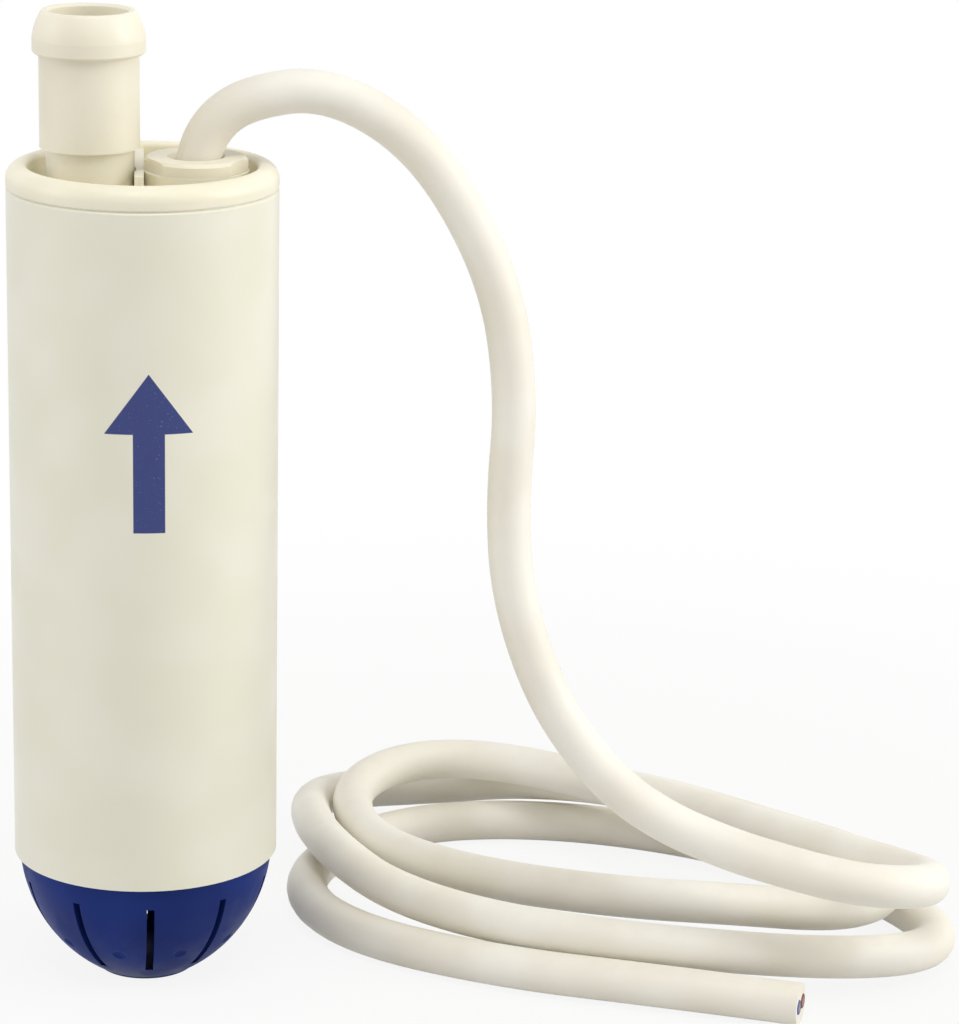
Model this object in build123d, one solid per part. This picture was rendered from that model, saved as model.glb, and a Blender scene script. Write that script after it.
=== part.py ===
from build123d import *
import math
import os

# Submersible twelve-volt water pump for a caravan, standing on its strainer.
# The body axis is Z, the foot of the strainer lies on the plane z = 0, the
# outlet is on the -X side of the head and the cable leaves it on the +X side.
# All lengths are millimetres and all angles are degrees.

# Fits and cutters
press_gap = 0.02          # radial, between two fixed pieces
bearing_gap = 0.03        # radial, the shaft in its bushes
running_gap = 0.3         # between pieces that turn against each other
cut_overrun = 1.0         # how far a cutter passes the face that it leaves
edge_match = 0.01         # how closely an edge is looked up by its place

# Motor
can_radius = 13.85
can_wall = 0.8
can_length = 40.0
can_edge = 1.2
can_boss_radius = 4.2
can_boss_height = 2.0
shaft_radius = 1.15
shaft_proud = 0.5
bush_radius = 3.0
bush_length = 4.0
magnet_thickness = 2.6
magnet_overhang = 3.0     # magnet past each end of the lamination stack
magnet_angle = 140.0
magnet_clip_thickness = 0.6
magnet_clip_width = 5.0
air_gap = 0.5
stack_lift = 7.5          # lamination stack above the base of the can
pole_count = 5
pole_neck_width = 2.6
pole_tip_thickness = 1.4
pole_slot_width = 1.8
yoke_radius = 3.9
winding_overhang = 2.6
winding_gap = 0.2
winding_width = 7.0
commutator_radius = 3.2
commutator_length = 5.0
commutator_lift = 4.5     # commutator above the lamination stack
commutator_gap = 0.5      # and below the end cap
commutator_slot_width = 0.4
commutator_slot_depth = 0.7
end_cap_flange = 2.0
end_cap_plug = 2.5
brush_width = 2.6
brush_height = 3.2
brush_length = 3.0
brush_gap = 0.15
brush_arm_thickness = 0.3
brush_arm_gap = 1.5       # from the arm's corner to the can's wall
brush_arm_nose = 1.6
tab_width = 2.8
tab_thickness = 0.6
tab_rise = 7.0
suppressor_radius = 2.6
suppressor_thickness = 1.8
suppressor_drop = 2.0     # its middle below the tab tips
suppressor_lead_radius = 0.3
wire_radius = 0.8
wire_bend = 3.0
wire_lap = 4.0            # how far a wire lies along its tab
wire_rise = 4.0           # crossing height above the tab tips

# Motor pod: the dry shell round the motor, and the base that closes it
pod_wall = 0.85
pod_headroom = 8.0
pod_top_wall = 1.5
pod_chamber = 3.5         # water space between the pod and the plug
pod_neck_wall = 1.4
pod_neck_height = 6.5
pod_neck_seal_lift = 1.5
pod_rib_width = 1.6
pod_rib_count = 4
pod_rib_inset = 6.0
base_register = 2.5
base_web = 1.2
base_edge = 1.2
ear_angle = 24.0
ear_thickness = 2.2
seal_pocket_radius = 4.0
seal_length = 3.2
seal_lip_gap = 0.04
seal_web = 0.9            # flat top of the shaft seal
seal_lip_share = 0.25     # of the seal's width, its lip
seal_wall_share = 0.3     # of the seal's width, its outer wall
retainer_thickness = 0.8
retainer_bore = 2.2

# Outer tube
water_gap = 2.28          # between the pod and the tube
tube_wall = 2.0
tube_low = 18.3
tube_rebate_depth = 1.5
tube_rebate_wall = 1.1

# Pump casing and impeller
skirt_height = 4.5
skirt_wall = 1.0
casing_floor = 1.6
impeller_lift = 0.5       # shroud above the casing floor
impeller_shroud = 0.8
impeller_passage = 3.2
impeller_plate = 1.0
impeller_top_gap = 0.5
blade_count = 6
blade_thickness = 0.9
blade_sweep = 55.0        # how far a blade falls back from eye to rim
blade_middle_share = 0.4  # of that sweep, reached half way out
eye_radius = 5.0
eye_collar_wall = 0.7
eye_collar_depth = 1.4
eye_gap = 0.4
hub_radius = 2.7
hub_rise = 0.6
clip_radius = 2.3
clip_thickness = 0.6
pillar_count = 3
pillar_radius = 1.5
pillar_gap = 0.8          # from a pillar to the tube and to the impeller
screw_radius = 0.8
screw_hole_gap = 0.15
screw_head_radius = 1.25
screw_head_height = 0.9
screw_length = 5.5
screw_slot_width = 0.4
screw_slot_depth = 0.4

# Head: the top moulding with its rim, well, plug and bosses
plug_depth = 9.6
plug_seal_lift = 2.4
well_depth = 9.0
rim_band = 3.3
rim_wall = 3.0
rim_outer_round = 2.0
rim_inner_round = 0.8
parting_chamfer = 0.3
web_thickness = 1.3
web_front = 6.0
web_drop = 0.9
boss_lap = 0.15           # how far the web runs into the gland boss

# Outlet spigot, which takes the hose
centre_lane = 0.35        # outlet edge from the pump's middle plane
outlet_rise = 21.3        # outlet top above the rim
outlet_bore_radius = 4.8
outlet_wall = 2.15
outlet_shoulder_rise = 2.3
bead_height = 0.89        # proud of the outlet's outside
bead_land = 2.1
bead_drop = 6.0           # bead's lower edge below the outlet top
bead_top_inset = 0.25     # bead's upper end inside that outside
bead_bulge = 0.2
bead_edge = 0.35
mouth_step = 0.7
mouth_depth = 2.2
neck_wall = 1.3
neck_depth = 4.2          # how far the neck sinks below the well's floor
neck_seal_drop = 2.1
socket_wall = 1.5
socket_height = 4.0

# Cable gland
gland_boss_wall = 1.8
grommet_wall = 2.5
gland_cap_inset = 0.15
gland_cap_height = 1.9
gland_cap_rise = 1.0      # cap top above the rim
gland_cap_chamfer = 0.45
gland_flat_depth = 0.5
gland_plug_depth = 4.6
gland_cable_gap = 0.25
gland_mouth_flare = 0.7
washer_thickness = 0.8
grommet_length = 5.0
grommet_waist_depth = 0.5
grommet_waist_share = 0.4  # of the grommet's length
sheath_tail = 1.3         # sheath below the grommet
sheath_proud = 1.6        # and above the washer

# O-rings
seal_section = 1.5

# Strainer
dome_inset = 0.69         # the dome's arc inside the tube at its widest
dome_widest_lift = 1.24   # that height above the tube's lower edge
dome_foot_radius = 6.6    # where the arc would meet the plane of the foot
dome_wall = 1.5
dome_shoulder = 1.8
foot_thickness = 1.8
foot_edge = 0.4
slot_count = 10
slot_width = 1.1
slot_low = 3.0
slot_margin = 3.0         # slot's end below the dome's top
slot_turn = 2.0           # the front slot from straight ahead
dimple_radius = 1.1
dimple_height = 6.5
dimple_depth = 0.35
collar_wall = 1.4
collar_gap = 0.5          # collar's top below the casing floor
lug_count = 3
lug_width = 4.2
lug_height = 1.3
lug_reach = 0.9
lug_drop = 1.6            # lug's top below the casing floor
twist_range = 30.0        # from locked to free

# Cable
cable_diameter = 6.2
core_diameter = 2.2
core_gap = 0.3
core_length = 3.0

# Places along the cable's free stretch, as shares of the way from the gland
# cap's mouth to the start of the coil: across, back and down
lead_route_shares = [
    (0, 0, 0.001),
    (0.031, 0, -0.053),
    (0.094, 0.004, -0.088),
    (0.217, 0.021, -0.101),
    (0.346, 0.051, -0.053),
    (0.450, 0.094, 0.038),
    (0.541, 0.171, 0.188),
    (0.568, 0.260, 0.348),
    (0.552, 0.350, 0.493),
    (0.561, 0.444, 0.628),
    (0.616, 0.538, 0.766),
    (0.689, 0.623, 0.861),
    (0.766, 0.708, 0.924),
    (0.846, 0.794, 0.962),
]
lead_end_run = 6.6        # the last straight run, along the start of the coil
bend_share = 0.45         # of the shorter run beside a bend, taken by the bend

# Stops of the coil, about five to a turn: a place in cable diameters and a
# compass heading
coil_stops = [
    ((14.839, -4.194, 3.629), -25),
    ((18.057, -1.929, 2.769), 105),
    ((13.492, 3.402, 2.383), 130),
    ((8.008, 8.213, 2.059), 160),
    ((5.324, 6.77, 1.7), 254),
    ((7.275, 1.893, 1.63), 320),
    ((15.041, -1.342, 1.673), 356),
    ((17.743, 0.423, 1.424), 439),
    ((14.919, 4.577, 1.726), 496),
    ((7.967, 9.452, 1.044), 526),
    ((4.037, 5.496, 1.589), 633),
    ((7.533, -0.514, 1.478), 690),
    ((17.538, -2.221, 0.79), 743),
    ((15.507, 4.697, 0.506), 864),
    ((5.517, 6.286, 0.506), 938),
    ((5.777, -0.623, 0.507), 1039),
    ((14.016, -4.081, 0.508), 1060),
]
arc_samples = 24          # points measured along each arc of the coil
neighbour_turns = 4.0     # stretch of its own, in diameters, left out of a gap

# Heights, from the bottom up
casing_low = tube_low + skirt_height
casing_top = casing_low + casing_floor
shroud_low = casing_top + impeller_lift
passage_low = shroud_low + impeller_shroud
plate_low = passage_low + impeller_passage
plate_top = plate_low + impeller_plate
base_low = plate_top + hub_rise + impeller_top_gap
retainer_top = base_low + retainer_thickness
pocket_top = retainer_top + seal_length
can_low = pocket_top + base_web + can_boss_height + running_gap
base_top = can_low - base_register
can_top = can_low + can_length
stack_low = can_low + stack_lift
commutator_top = can_top - end_cap_plug - commutator_gap
commutator_low = commutator_top - commutator_length
stack_top = commutator_low - commutator_lift
stack_middle = (stack_low + stack_top) / 2
brush_middle = (commutator_low + commutator_top) / 2
end_cap_top = can_top + end_cap_flange
rear_boss_top = end_cap_top + can_boss_height
shaft_low = shroud_low - clip_thickness
shaft_top = rear_boss_top + shaft_proud
tab_low = brush_middle - brush_height / 2
tab_top = end_cap_top + tab_rise
pod_inner_top = tab_top + pod_headroom
pod_top = pod_inner_top + pod_top_wall
pod_neck_top = pod_top + pod_neck_height
plug_low = pod_top + pod_chamber
well_floor = plug_low + plug_depth
rim_top = well_floor + well_depth
tube_top = rim_top - rim_band
outlet_top = rim_top + outlet_rise
outlet_shoulder = rim_top + outlet_shoulder_rise
bead_low = outlet_top - bead_drop
socket_top = well_floor + socket_height
neck_low = well_floor - neck_depth
spigot_seal_height = well_floor - neck_seal_drop
gland_cap_top = rim_top + gland_cap_rise
gland_cap_low = gland_cap_top - gland_cap_height
washer_top = gland_cap_low - gland_plug_depth
washer_low = washer_top - washer_thickness
grommet_low = washer_low - grommet_length
sheath_low = grommet_low - sheath_tail
sheath_high = washer_top + sheath_proud
strainer_top = tube_low - running_gap
collar_top = casing_low - collar_gap
lug_top = casing_low - lug_drop
lug_low = lug_top - lug_height
dome_widest = tube_low + dome_widest_lift
slot_high = strainer_top - slot_margin

# Radii and offsets, from the middle out
cable_radius = cable_diameter / 2
core_spacing = core_diameter + core_gap
can_inner = can_radius - can_wall
magnet_inner = can_inner - magnet_thickness
stack_radius = magnet_inner - air_gap
pod_inner = can_radius + press_gap
pod_radius = pod_inner + pod_wall
tube_inner = pod_radius + water_gap
tube_radius = tube_inner + tube_wall
plug_radius = tube_inner - press_gap
rebate_radius = tube_radius - tube_rebate_wall
pillar_ring = tube_inner - pillar_gap - pillar_radius
impeller_radius = pillar_ring - pillar_radius - pillar_gap
skirt_inner = plug_radius - skirt_wall
eye_bore = eye_radius + eye_collar_wall + eye_gap
well_radius = tube_radius - rim_wall
outlet_radius = outlet_bore_radius + outlet_wall
outlet_offset = outlet_radius + centre_lane
bead_radius = outlet_radius + bead_height
bead_top_radius = outlet_radius - bead_top_inset
mouth_radius = outlet_bore_radius + mouth_step
neck_radius = outlet_bore_radius + neck_wall
gland_bore_radius = cable_radius + grommet_wall
gland_boss_radius = gland_bore_radius + gland_boss_wall
gland_offset = gland_boss_radius
gland_cap_radius = gland_boss_radius - gland_cap_inset
pod_neck_bore = cable_radius + running_gap
pod_neck_radius = pod_neck_bore + pod_neck_wall
brush_back = commutator_radius + brush_gap + brush_length
tab_inner_face = brush_back + brush_arm_thickness
tab_outer_face = tab_inner_face + tab_thickness
brush_arm_length = math.sqrt((can_inner - brush_arm_gap) ** 2 - tab_outer_face**2)
tab_middle = tab_width / 2 - brush_arm_length
collar_outer = skirt_inner - running_gap
collar_inner = collar_outer - collar_wall
lug_angle = math.degrees(lug_width / skirt_inner)
dome_radius = tube_radius - dome_inset
dome_spread = dome_radius - dome_foot_radius
dome_set_over = dome_widest**2 / dome_spread / 2 - dome_radius / 2 - dome_foot_radius / 2
dome_curve = dome_radius + dome_set_over


def rod(radius, low, high, x=0, y=0):
    """An upright solid cylinder between two heights."""
    stand = (Align.CENTER, Align.CENTER, Align.MIN)
    return Pos(x, y, low) * Cylinder(radius, high - low, align=stand)


def ring(outer, inner, low, high, x=0, y=0):
    """An upright tube between two heights."""
    hole = rod(inner, low - cut_overrun, high + cut_overrun, x, y)
    return rod(outer, low, high, x, y) - hole


def block(x_size, y_size, low, high, x=0, y=0):
    """An upright block, centred on a point, between two heights."""
    stand = (Align.CENTER, Align.CENTER, Align.MIN)
    return Pos(x, y, low) * Box(x_size, y_size, high - low, align=stand)


def wedge(radius, angle, low, high, middle=0):
    """A slice of a disc, as wide as an angle, centred on a direction."""
    arc = CenterArc((0, 0), radius, middle - angle / 2, angle)
    face = make_face([Line((0, 0), arc @ 0), arc, Line(arc @ 1, (0, 0))])
    return Pos(0, 0, low) * extrude(face, high - low)


def turned(edges, x=0):
    """A closed outline of edges, radius across and height up, turned round an axis."""
    return Pos(x, 0, 0) * revolve(Plane.XZ * make_face(edges), Axis.Z)


def turned_points(points, x=0):
    """A closed outline of straight runs turned round an upright axis."""
    return turned(Polyline(*points, close=True), x)


def around(count, piece, start=0):
    """Copies of a piece, evenly spaced round the body axis."""
    return [Rot(0, 0, start + 360 * number / count) * piece for number in range(count)]


def rims(solid, radius, height):
    """The circular edges of a solid that have a radius and lie at a height."""
    circles = solid.edges().filter_by(GeomType.CIRCLE)
    level = [edge for edge in circles if abs(edge.arc_center.Z - height) < edge_match]
    return [edge for edge in level if abs(edge.radius - radius) < edge_match]


def o_ring(contact_radius, height, x=0):
    """A round-section seal that touches a shaft of the contact radius."""
    section = seal_section / 2
    return Pos(x, 0, height) * Torus(contact_radius + section, section)


def groove(outer, inner, height, x=0):
    """The space of a seal between two radii."""
    return ring(outer, inner, height - seal_section / 2, height + seal_section / 2, x)


def make_outer_tube():
    """The plain white tube, with a rebate in its lower end for the casing."""
    tube = ring(tube_radius, tube_inner, tube_low, tube_top)
    tube -= rod(rebate_radius, tube_low - cut_overrun, tube_low + tube_rebate_depth)
    return chamfer(rims(tube, tube_radius, tube_top), parting_chamfer)


def make_head():
    """The top moulding: rim, well, plug, outlet socket, gland boss and web."""
    head = turned_points([
        (0, plug_low),
        (plug_radius, plug_low),
        (plug_radius, tube_top),
        (tube_radius, tube_top),
        (tube_radius, rim_top),
        (well_radius, rim_top),
        (well_radius, well_floor),
        (0, well_floor),
    ])
    head = fillet(rims(head, tube_radius, rim_top), min(rim_outer_round, 2 * rim_wall / 3))
    head = fillet(rims(head, well_radius, rim_top), min(rim_inner_round, rim_wall / 4))
    head = chamfer(rims(head, tube_radius, tube_top), parting_chamfer)
    web_right = gland_offset - gland_boss_radius + boss_lap
    web_length = web_front + well_radius + boss_lap
    head += block(
        web_thickness,
        web_length,
        well_floor,
        rim_top - web_drop,
        web_right - web_thickness / 2,
        web_length / 2 - web_front,
    )
    head += rod(neck_radius + socket_wall, well_floor, socket_top, -outlet_offset)
    head += rod(gland_boss_radius, well_floor, gland_cap_low, gland_offset)
    head += rod(pod_neck_radius + pod_neck_wall, pod_top, plug_low, gland_offset)
    return head - head_passages()


def head_passages():
    """What is cut from the head: the water way, the gland and the seal grooves."""
    over = rim_top + cut_overrun
    water = [
        rod(neck_radius + running_gap, socket_top, over, -outlet_offset),
        rod(neck_radius + press_gap, neck_low, over, -outlet_offset),
        rod(outlet_bore_radius, plug_low - cut_overrun, neck_low, -outlet_offset),
        groove(neck_radius + seal_section, neck_radius, spigot_seal_height, -outlet_offset),
    ]
    seal_height = plug_low + pod_neck_seal_lift
    wiring = [
        rod(gland_bore_radius, grommet_low, over, gland_offset),
        rod(gland_cap_radius + running_gap, gland_cap_low, over, gland_offset),
        rod(pod_neck_bore, pod_neck_top, grommet_low, gland_offset),
        rod(pod_neck_radius + press_gap, pod_top - cut_overrun, pod_neck_top, gland_offset),
        groove(pod_neck_radius + seal_section, pod_neck_radius, seal_height, gland_offset),
    ]
    outside = groove(tube_inner, tube_inner - seal_section, plug_low + plug_seal_lift)
    return water + wiring + [outside]


def make_outlet_spigot():
    """The hose spigot: bead, tube, shoulder and the neck that enters the head."""
    bead_high = bead_low + bead_land
    taper = SagittaArc(
        (bead_radius, bead_high),
        (bead_top_radius, outlet_top - bead_edge),
        -bead_bulge,
    )
    mouth_low = outlet_top - mouth_depth
    step = mouth_radius - outlet_bore_radius
    lower = Polyline(
        (outlet_bore_radius, mouth_low - step),
        (outlet_bore_radius, neck_low),
        (neck_radius, neck_low),
        (neck_radius, outlet_shoulder),
        (outlet_radius, outlet_shoulder),
        (outlet_radius, bead_low),
        (bead_radius - bead_edge, bead_low),
        (bead_radius, bead_low + bead_edge),
        (bead_radius, bead_high),
    )
    upper = Polyline(
        (bead_top_radius, outlet_top - bead_edge),
        (bead_top_radius - bead_edge, outlet_top),
        (mouth_radius + bead_edge, outlet_top),
        (mouth_radius, outlet_top - bead_edge),
        (mouth_radius, mouth_low),
        (outlet_bore_radius, mouth_low - step),
    )
    return turned([lower, taper, upper], -outlet_offset)


def make_gland_cap():
    """The screwed cap of the cable gland, with spanner flats and a flared mouth."""
    bore = cable_radius + gland_cable_gap
    flare_low = gland_cap_top - gland_mouth_flare
    cap = turned_points([
        (bore, washer_top),
        (gland_bore_radius - press_gap, washer_top),
        (gland_bore_radius - press_gap, gland_cap_low),
        (gland_cap_radius, gland_cap_low),
        (gland_cap_radius, gland_cap_top - gland_cap_chamfer),
        (gland_cap_radius - gland_cap_chamfer, gland_cap_top),
        (bore + gland_mouth_flare, gland_cap_top),
        (bore, flare_low),
    ])
    flat = block(
        gland_cap_radius,
        gland_cap_radius,
        gland_cap_low,
        gland_cap_top + cut_overrun,
        3 * gland_cap_radius / 2 - gland_flat_depth,
    )
    for direction in (-30, 30, 150, 210):
        cap -= Rot(0, 0, direction) * flat
    return Pos(gland_offset, 0, 0) * cap


def make_gland_washer():
    """The flat washer between the screwed cap and the grommet."""
    outer = gland_bore_radius - press_gap
    return ring(outer, cable_radius + gland_cable_gap, washer_low, washer_top, gland_offset)


def make_gland_grommet():
    """The rubber bush that grips the cable, with a waist round its middle."""
    grommet = ring(gland_bore_radius, cable_radius, grommet_low, washer_low, gland_offset)
    middle = (grommet_low + washer_low) / 2
    half = grommet_length * grommet_waist_share / 2
    inner = gland_bore_radius - grommet_waist_depth
    outer = gland_bore_radius + cut_overrun
    return grommet - ring(outer, inner, middle - half, middle + half, gland_offset)


def make_motor_pod():
    """The dry shell round the motor, with its wire neck and centring ribs."""
    pod = rod(pod_radius, base_top, pod_top)
    pod -= rod(pod_inner, base_top - cut_overrun, pod_inner_top)
    low = base_top + pod_rib_inset
    high = pod_top - pod_rib_inset
    sleeve = ring(plug_radius, pod_radius - pod_wall / 2, low, high)
    fin = block(plug_radius, pod_rib_width, base_top, pod_top, plug_radius / 2)
    for rib in around(pod_rib_count, sleeve & fin, 180 / pod_rib_count):
        pod += rib
    pod += rod(pod_neck_radius, pod_top, pod_neck_top, gland_offset)
    return pod - rod(pod_neck_bore, pod_inner_top, pod_neck_top + cut_overrun, gland_offset)


def make_pod_base():
    """The plug that closes the pod, with the seal pocket and three pillars."""
    base = rod(pod_radius, base_low, base_top)
    base = chamfer(rims(base, pod_radius, base_low), base_edge)
    base += rod(pod_inner - press_gap, base_top, can_low)
    arm = wedge(plug_radius, ear_angle, base_low, base_low + ear_thickness)
    for ear in around(pillar_count, arm - rod(seal_pocket_radius, base_low, base_top)):
        base += ear
    for pillar in around(pillar_count, rod(pillar_radius, casing_top, base_low, pillar_ring)):
        base += pillar
    pilot = rod(screw_radius, casing_top - cut_overrun, screw_tip(), pillar_ring)
    base -= around(pillar_count, pilot)
    base -= rod(can_boss_radius + running_gap, pocket_top + base_web, can_low + cut_overrun)
    base -= rod(shaft_radius + running_gap, base_low, can_low)
    base -= rod(seal_pocket_radius, base_low - cut_overrun, pocket_top)
    seal_middle = (base_top + can_low) / 2
    return base - groove(pod_inner, pod_inner - seal_section, seal_middle)


def screw_tip():
    """The height of a casing screw's tip."""
    return casing_low + screw_head_height + screw_length


def make_casing_screws():
    """The screws that hold the casing to the pillars, heads down."""
    head_top = casing_low + screw_head_height
    screw = rod(screw_head_radius, casing_low, head_top, pillar_ring)
    screw += rod(screw_radius, head_top, screw_tip(), pillar_ring)
    width = 2 * (screw_head_radius + cut_overrun)
    low = casing_low - cut_overrun
    screw -= block(width, screw_slot_width, low, casing_low + screw_slot_depth, pillar_ring)
    return around(pillar_count, screw)


def make_shaft_seal():
    """The lip seal round the shaft, open towards the water."""
    low = retainer_top
    lip = shaft_radius + seal_lip_gap
    lip_thickness = (seal_pocket_radius - lip) * seal_lip_share
    wall_inner = seal_pocket_radius - (seal_pocket_radius - lip) * seal_wall_share
    groove_floor = pocket_top - seal_web
    return turned_points([
        (seal_pocket_radius, low),
        (seal_pocket_radius, pocket_top),
        (lip + lip_thickness, pocket_top),
        (lip, low + lip_thickness),
        (lip, low),
        (lip + lip_thickness, low),
        (lip + 2 * lip_thickness, groove_floor),
        (wall_inner, groove_floor),
        (wall_inner, low),
    ])


def make_motor_can():
    """The drawn steel can with its front bush boss."""
    can = rod(can_radius, can_low, can_top)
    can -= rod(can_inner, can_low + can_wall, can_top + cut_overrun)
    can = fillet(rims(can, can_radius, can_low), min(can_edge, 3 * can_wall / 2))
    boss_low = can_low - can_boss_height
    can += rod(can_boss_radius, boss_low, can_low)
    return can - rod(bush_radius, boss_low - cut_overrun, can_low + can_wall + cut_overrun)


def make_end_cap():
    """The plastic end of the motor, with the rear bush boss and tab slots."""
    cap = rod(can_radius, can_top, end_cap_top)
    cap += rod(can_inner - press_gap, can_top - end_cap_plug, can_top)
    cap += rod(can_boss_radius, end_cap_top, rear_boss_top)
    cap -= rod(bush_radius, rear_boss_top - bush_length, rear_boss_top + cut_overrun)
    cap -= rod(shaft_radius + running_gap, can_top - end_cap_plug - cut_overrun, rear_boss_top)
    for side in (-1, 1):
        middle = side * (tab_inner_face + tab_outer_face) / 2
        width = tab_width + 2 * press_gap
        thickness = tab_thickness + 2 * press_gap
        low = can_top - end_cap_plug - cut_overrun
        cap -= block(width, thickness, low, end_cap_top + cut_overrun, tab_middle, middle)
    return cap


def make_magnets():
    """The two arc magnets against the can's wall."""
    low = stack_low - magnet_overhang
    high = stack_top + magnet_overhang
    sleeve = ring(can_inner, magnet_inner, low, high)
    return around(2, sleeve & wedge(can_radius, magnet_angle, low, high), 90)


def make_magnet_clips():
    """The spring clips that press the magnets apart."""
    low = stack_middle - magnet_clip_width / 2
    high = stack_middle + magnet_clip_width / 2
    sleeve = ring(can_inner, can_inner - magnet_clip_thickness, low, high)
    return around(2, sleeve & wedge(can_radius, 180 - magnet_angle, low, high))


def make_rotor_core():
    """The lamination stack: a yoke with five necked poles."""
    core = rod(yoke_radius, stack_low, stack_top)
    tips = ring(stack_radius, stack_radius - pole_tip_thickness, stack_low, stack_top)
    neck = block(stack_radius - pole_tip_thickness / 2, pole_neck_width, stack_low, stack_top)
    neck = Pos((stack_radius - pole_tip_thickness / 2) / 2, 0, 0) * neck
    slot = block(stack_radius, pole_slot_width, stack_low, stack_top, stack_radius)
    for cut in around(pole_count, slot, 180 / pole_count):
        tips -= cut
    core += tips
    for pole in around(pole_count, neck):
        core += pole
    return core - rod(shaft_radius, stack_low - cut_overrun, stack_top + cut_overrun)


def make_rotor_windings():
    """One wound coil round each pole, with its end turns above and below."""
    low = stack_low - winding_overhang
    high = stack_top + winding_overhang
    outer = stack_radius - pole_tip_thickness
    sleeve = ring(outer, yoke_radius, low, high)
    slice_angle = 360 / pole_count - math.degrees(2 * winding_gap / yoke_radius)
    coil = sleeve & wedge(stack_radius, slice_angle, low, high)
    coil &= block(2 * stack_radius, winding_width, low, high)
    neck = block(2 * stack_radius, pole_neck_width, stack_low, stack_top)
    return around(pole_count, coil - neck)


def make_commutator():
    """The copper commutator, slotted between its bars."""
    bars = ring(commutator_radius, shaft_radius, commutator_low, commutator_top)
    slot = block(
        2 * commutator_slot_depth,
        commutator_slot_width,
        commutator_low - cut_overrun,
        commutator_top + cut_overrun,
        commutator_radius,
    )
    for cut in around(pole_count, slot, 180 / pole_count):
        bars -= cut
    return bars


def make_brushes():
    """The two carbon brushes, hollowed to the commutator."""
    low = brush_middle - brush_height / 2
    high = brush_middle + brush_height / 2
    depth = brush_length + brush_gap
    stick = block(brush_width, depth, low, high, 0, brush_back - depth / 2)
    face = rod(commutator_radius + brush_gap, low - cut_overrun, high + cut_overrun)
    return around(2, stick - face)


def make_brush_arms():
    """The leaf springs that carry the brushes."""
    low = brush_middle - brush_height / 2
    high = brush_middle + brush_height / 2
    length = brush_arm_length + brush_arm_nose
    middle = brush_arm_nose - length / 2
    depth = brush_back + brush_arm_thickness / 2
    arm = block(length, brush_arm_thickness, low, high, middle)
    return [Pos(0, side * depth, 0) * arm for side in (-1, 1)]


def make_terminals():
    """The two tabs that rise through the end cap."""
    depth = (tab_inner_face + tab_outer_face) / 2
    tab = block(tab_width, tab_thickness, tab_low, tab_top, tab_middle)
    return [Pos(0, side * depth, 0) * tab for side in (-1, 1)]


def make_suppressor():
    """The disc capacitor across the terminals."""
    turned_over = Pos(tab_middle, 0, tab_top - suppressor_drop) * Rot(90, 0, 0)
    disc = Cylinder(suppressor_radius, suppressor_thickness)
    lead = Cylinder(suppressor_lead_radius, 2 * tab_inner_face)
    return turned_over * (disc + lead)


def make_wire(side):
    """One insulated core, from the cable down to its terminal."""
    gland_y = side * core_spacing / 2
    tab_y = side * (tab_outer_face + wire_radius)
    crossing = tab_top + wire_rise
    path = FilletPolyline(
        (gland_offset, gland_y, sheath_low),
        (gland_offset, gland_y, crossing),
        (tab_middle, tab_y, crossing),
        (tab_middle, tab_y, tab_top - wire_lap),
        radius=wire_bend,
    )
    section = Plane(origin=path @ 0, z_dir=path % 0) * Circle(wire_radius)
    return sweep(section, path=path)


def make_motor_shaft():
    """The steel shaft that carries rotor and impeller."""
    shaft = rod(shaft_radius, shaft_low, shaft_top)
    ends = rims(shaft, shaft_radius, shaft_low) + rims(shaft, shaft_radius, shaft_top)
    return chamfer(ends, shaft_radius / 4)


def make_impeller():
    """The shrouded impeller: hub plate, swept-back blades, shroud and eye collar."""
    impeller = rod(impeller_radius, plate_low, plate_top)
    impeller += rod(hub_radius, shroud_low, plate_top + hub_rise)
    impeller += ring(impeller_radius, eye_radius, shroud_low, passage_low)
    collar_low = passage_low - impeller_shroud - eye_collar_depth
    impeller += ring(eye_radius + eye_collar_wall, eye_radius, collar_low, passage_low)
    rim = rod(impeller_radius, passage_low, plate_low)
    blade = extrude(trace(blade_line(), blade_thickness), impeller_passage)
    for copy in around(blade_count, (Pos(0, 0, passage_low) * blade) & rim):
        impeller += copy
    hub_top = plate_top + hub_rise
    return impeller - rod(shaft_radius, shroud_low - cut_overrun, hub_top + cut_overrun)


def blade_line():
    """The middle line of one blade, from inside the eye to past the rim."""
    outer = impeller_radius + blade_thickness
    inner = eye_radius - blade_thickness
    middle = (inner + outer) / 2
    turns = (0, -blade_sweep * blade_middle_share, -blade_sweep)
    points = [
        (radius * math.cos(math.radians(turn)), radius * math.sin(math.radians(turn)))
        for radius, turn in zip((inner, middle, outer), turns)
    ]
    return ThreePointArc(*points)


def make_pump_casing():
    """The disc below the impeller, with its eye, skirt and bayonet lugs."""
    low = casing_low - cut_overrun
    high = casing_top + cut_overrun
    casing = rod(plug_radius, casing_low, casing_top) - rod(eye_bore, low, high)
    casing += ring(plug_radius, skirt_inner, tube_low, casing_low)
    casing += ring(rebate_radius - press_gap, skirt_inner, tube_low, tube_low + tube_rebate_depth)
    lug = ring(skirt_inner + skirt_wall / 2, skirt_inner - lug_reach, lug_low, lug_top)
    for copy in around(lug_count, lug & wedge(tube_radius, lug_angle, lug_low, lug_top)):
        casing += copy
    head_top = casing_low + screw_head_height
    recess = rod(screw_head_radius + press_gap, low, head_top, pillar_ring)
    hole = rod(screw_radius + screw_hole_gap, casing_low, high, pillar_ring)
    for cut in around(pillar_count, recess + hole):
        casing -= cut
    return casing


def dome_at(height, wall):
    """The dome's radius at a height, at a depth of wall below its outside."""
    return math.sqrt((dome_curve - wall) ** 2 - (dome_widest - height) ** 2) - dome_set_over


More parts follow.
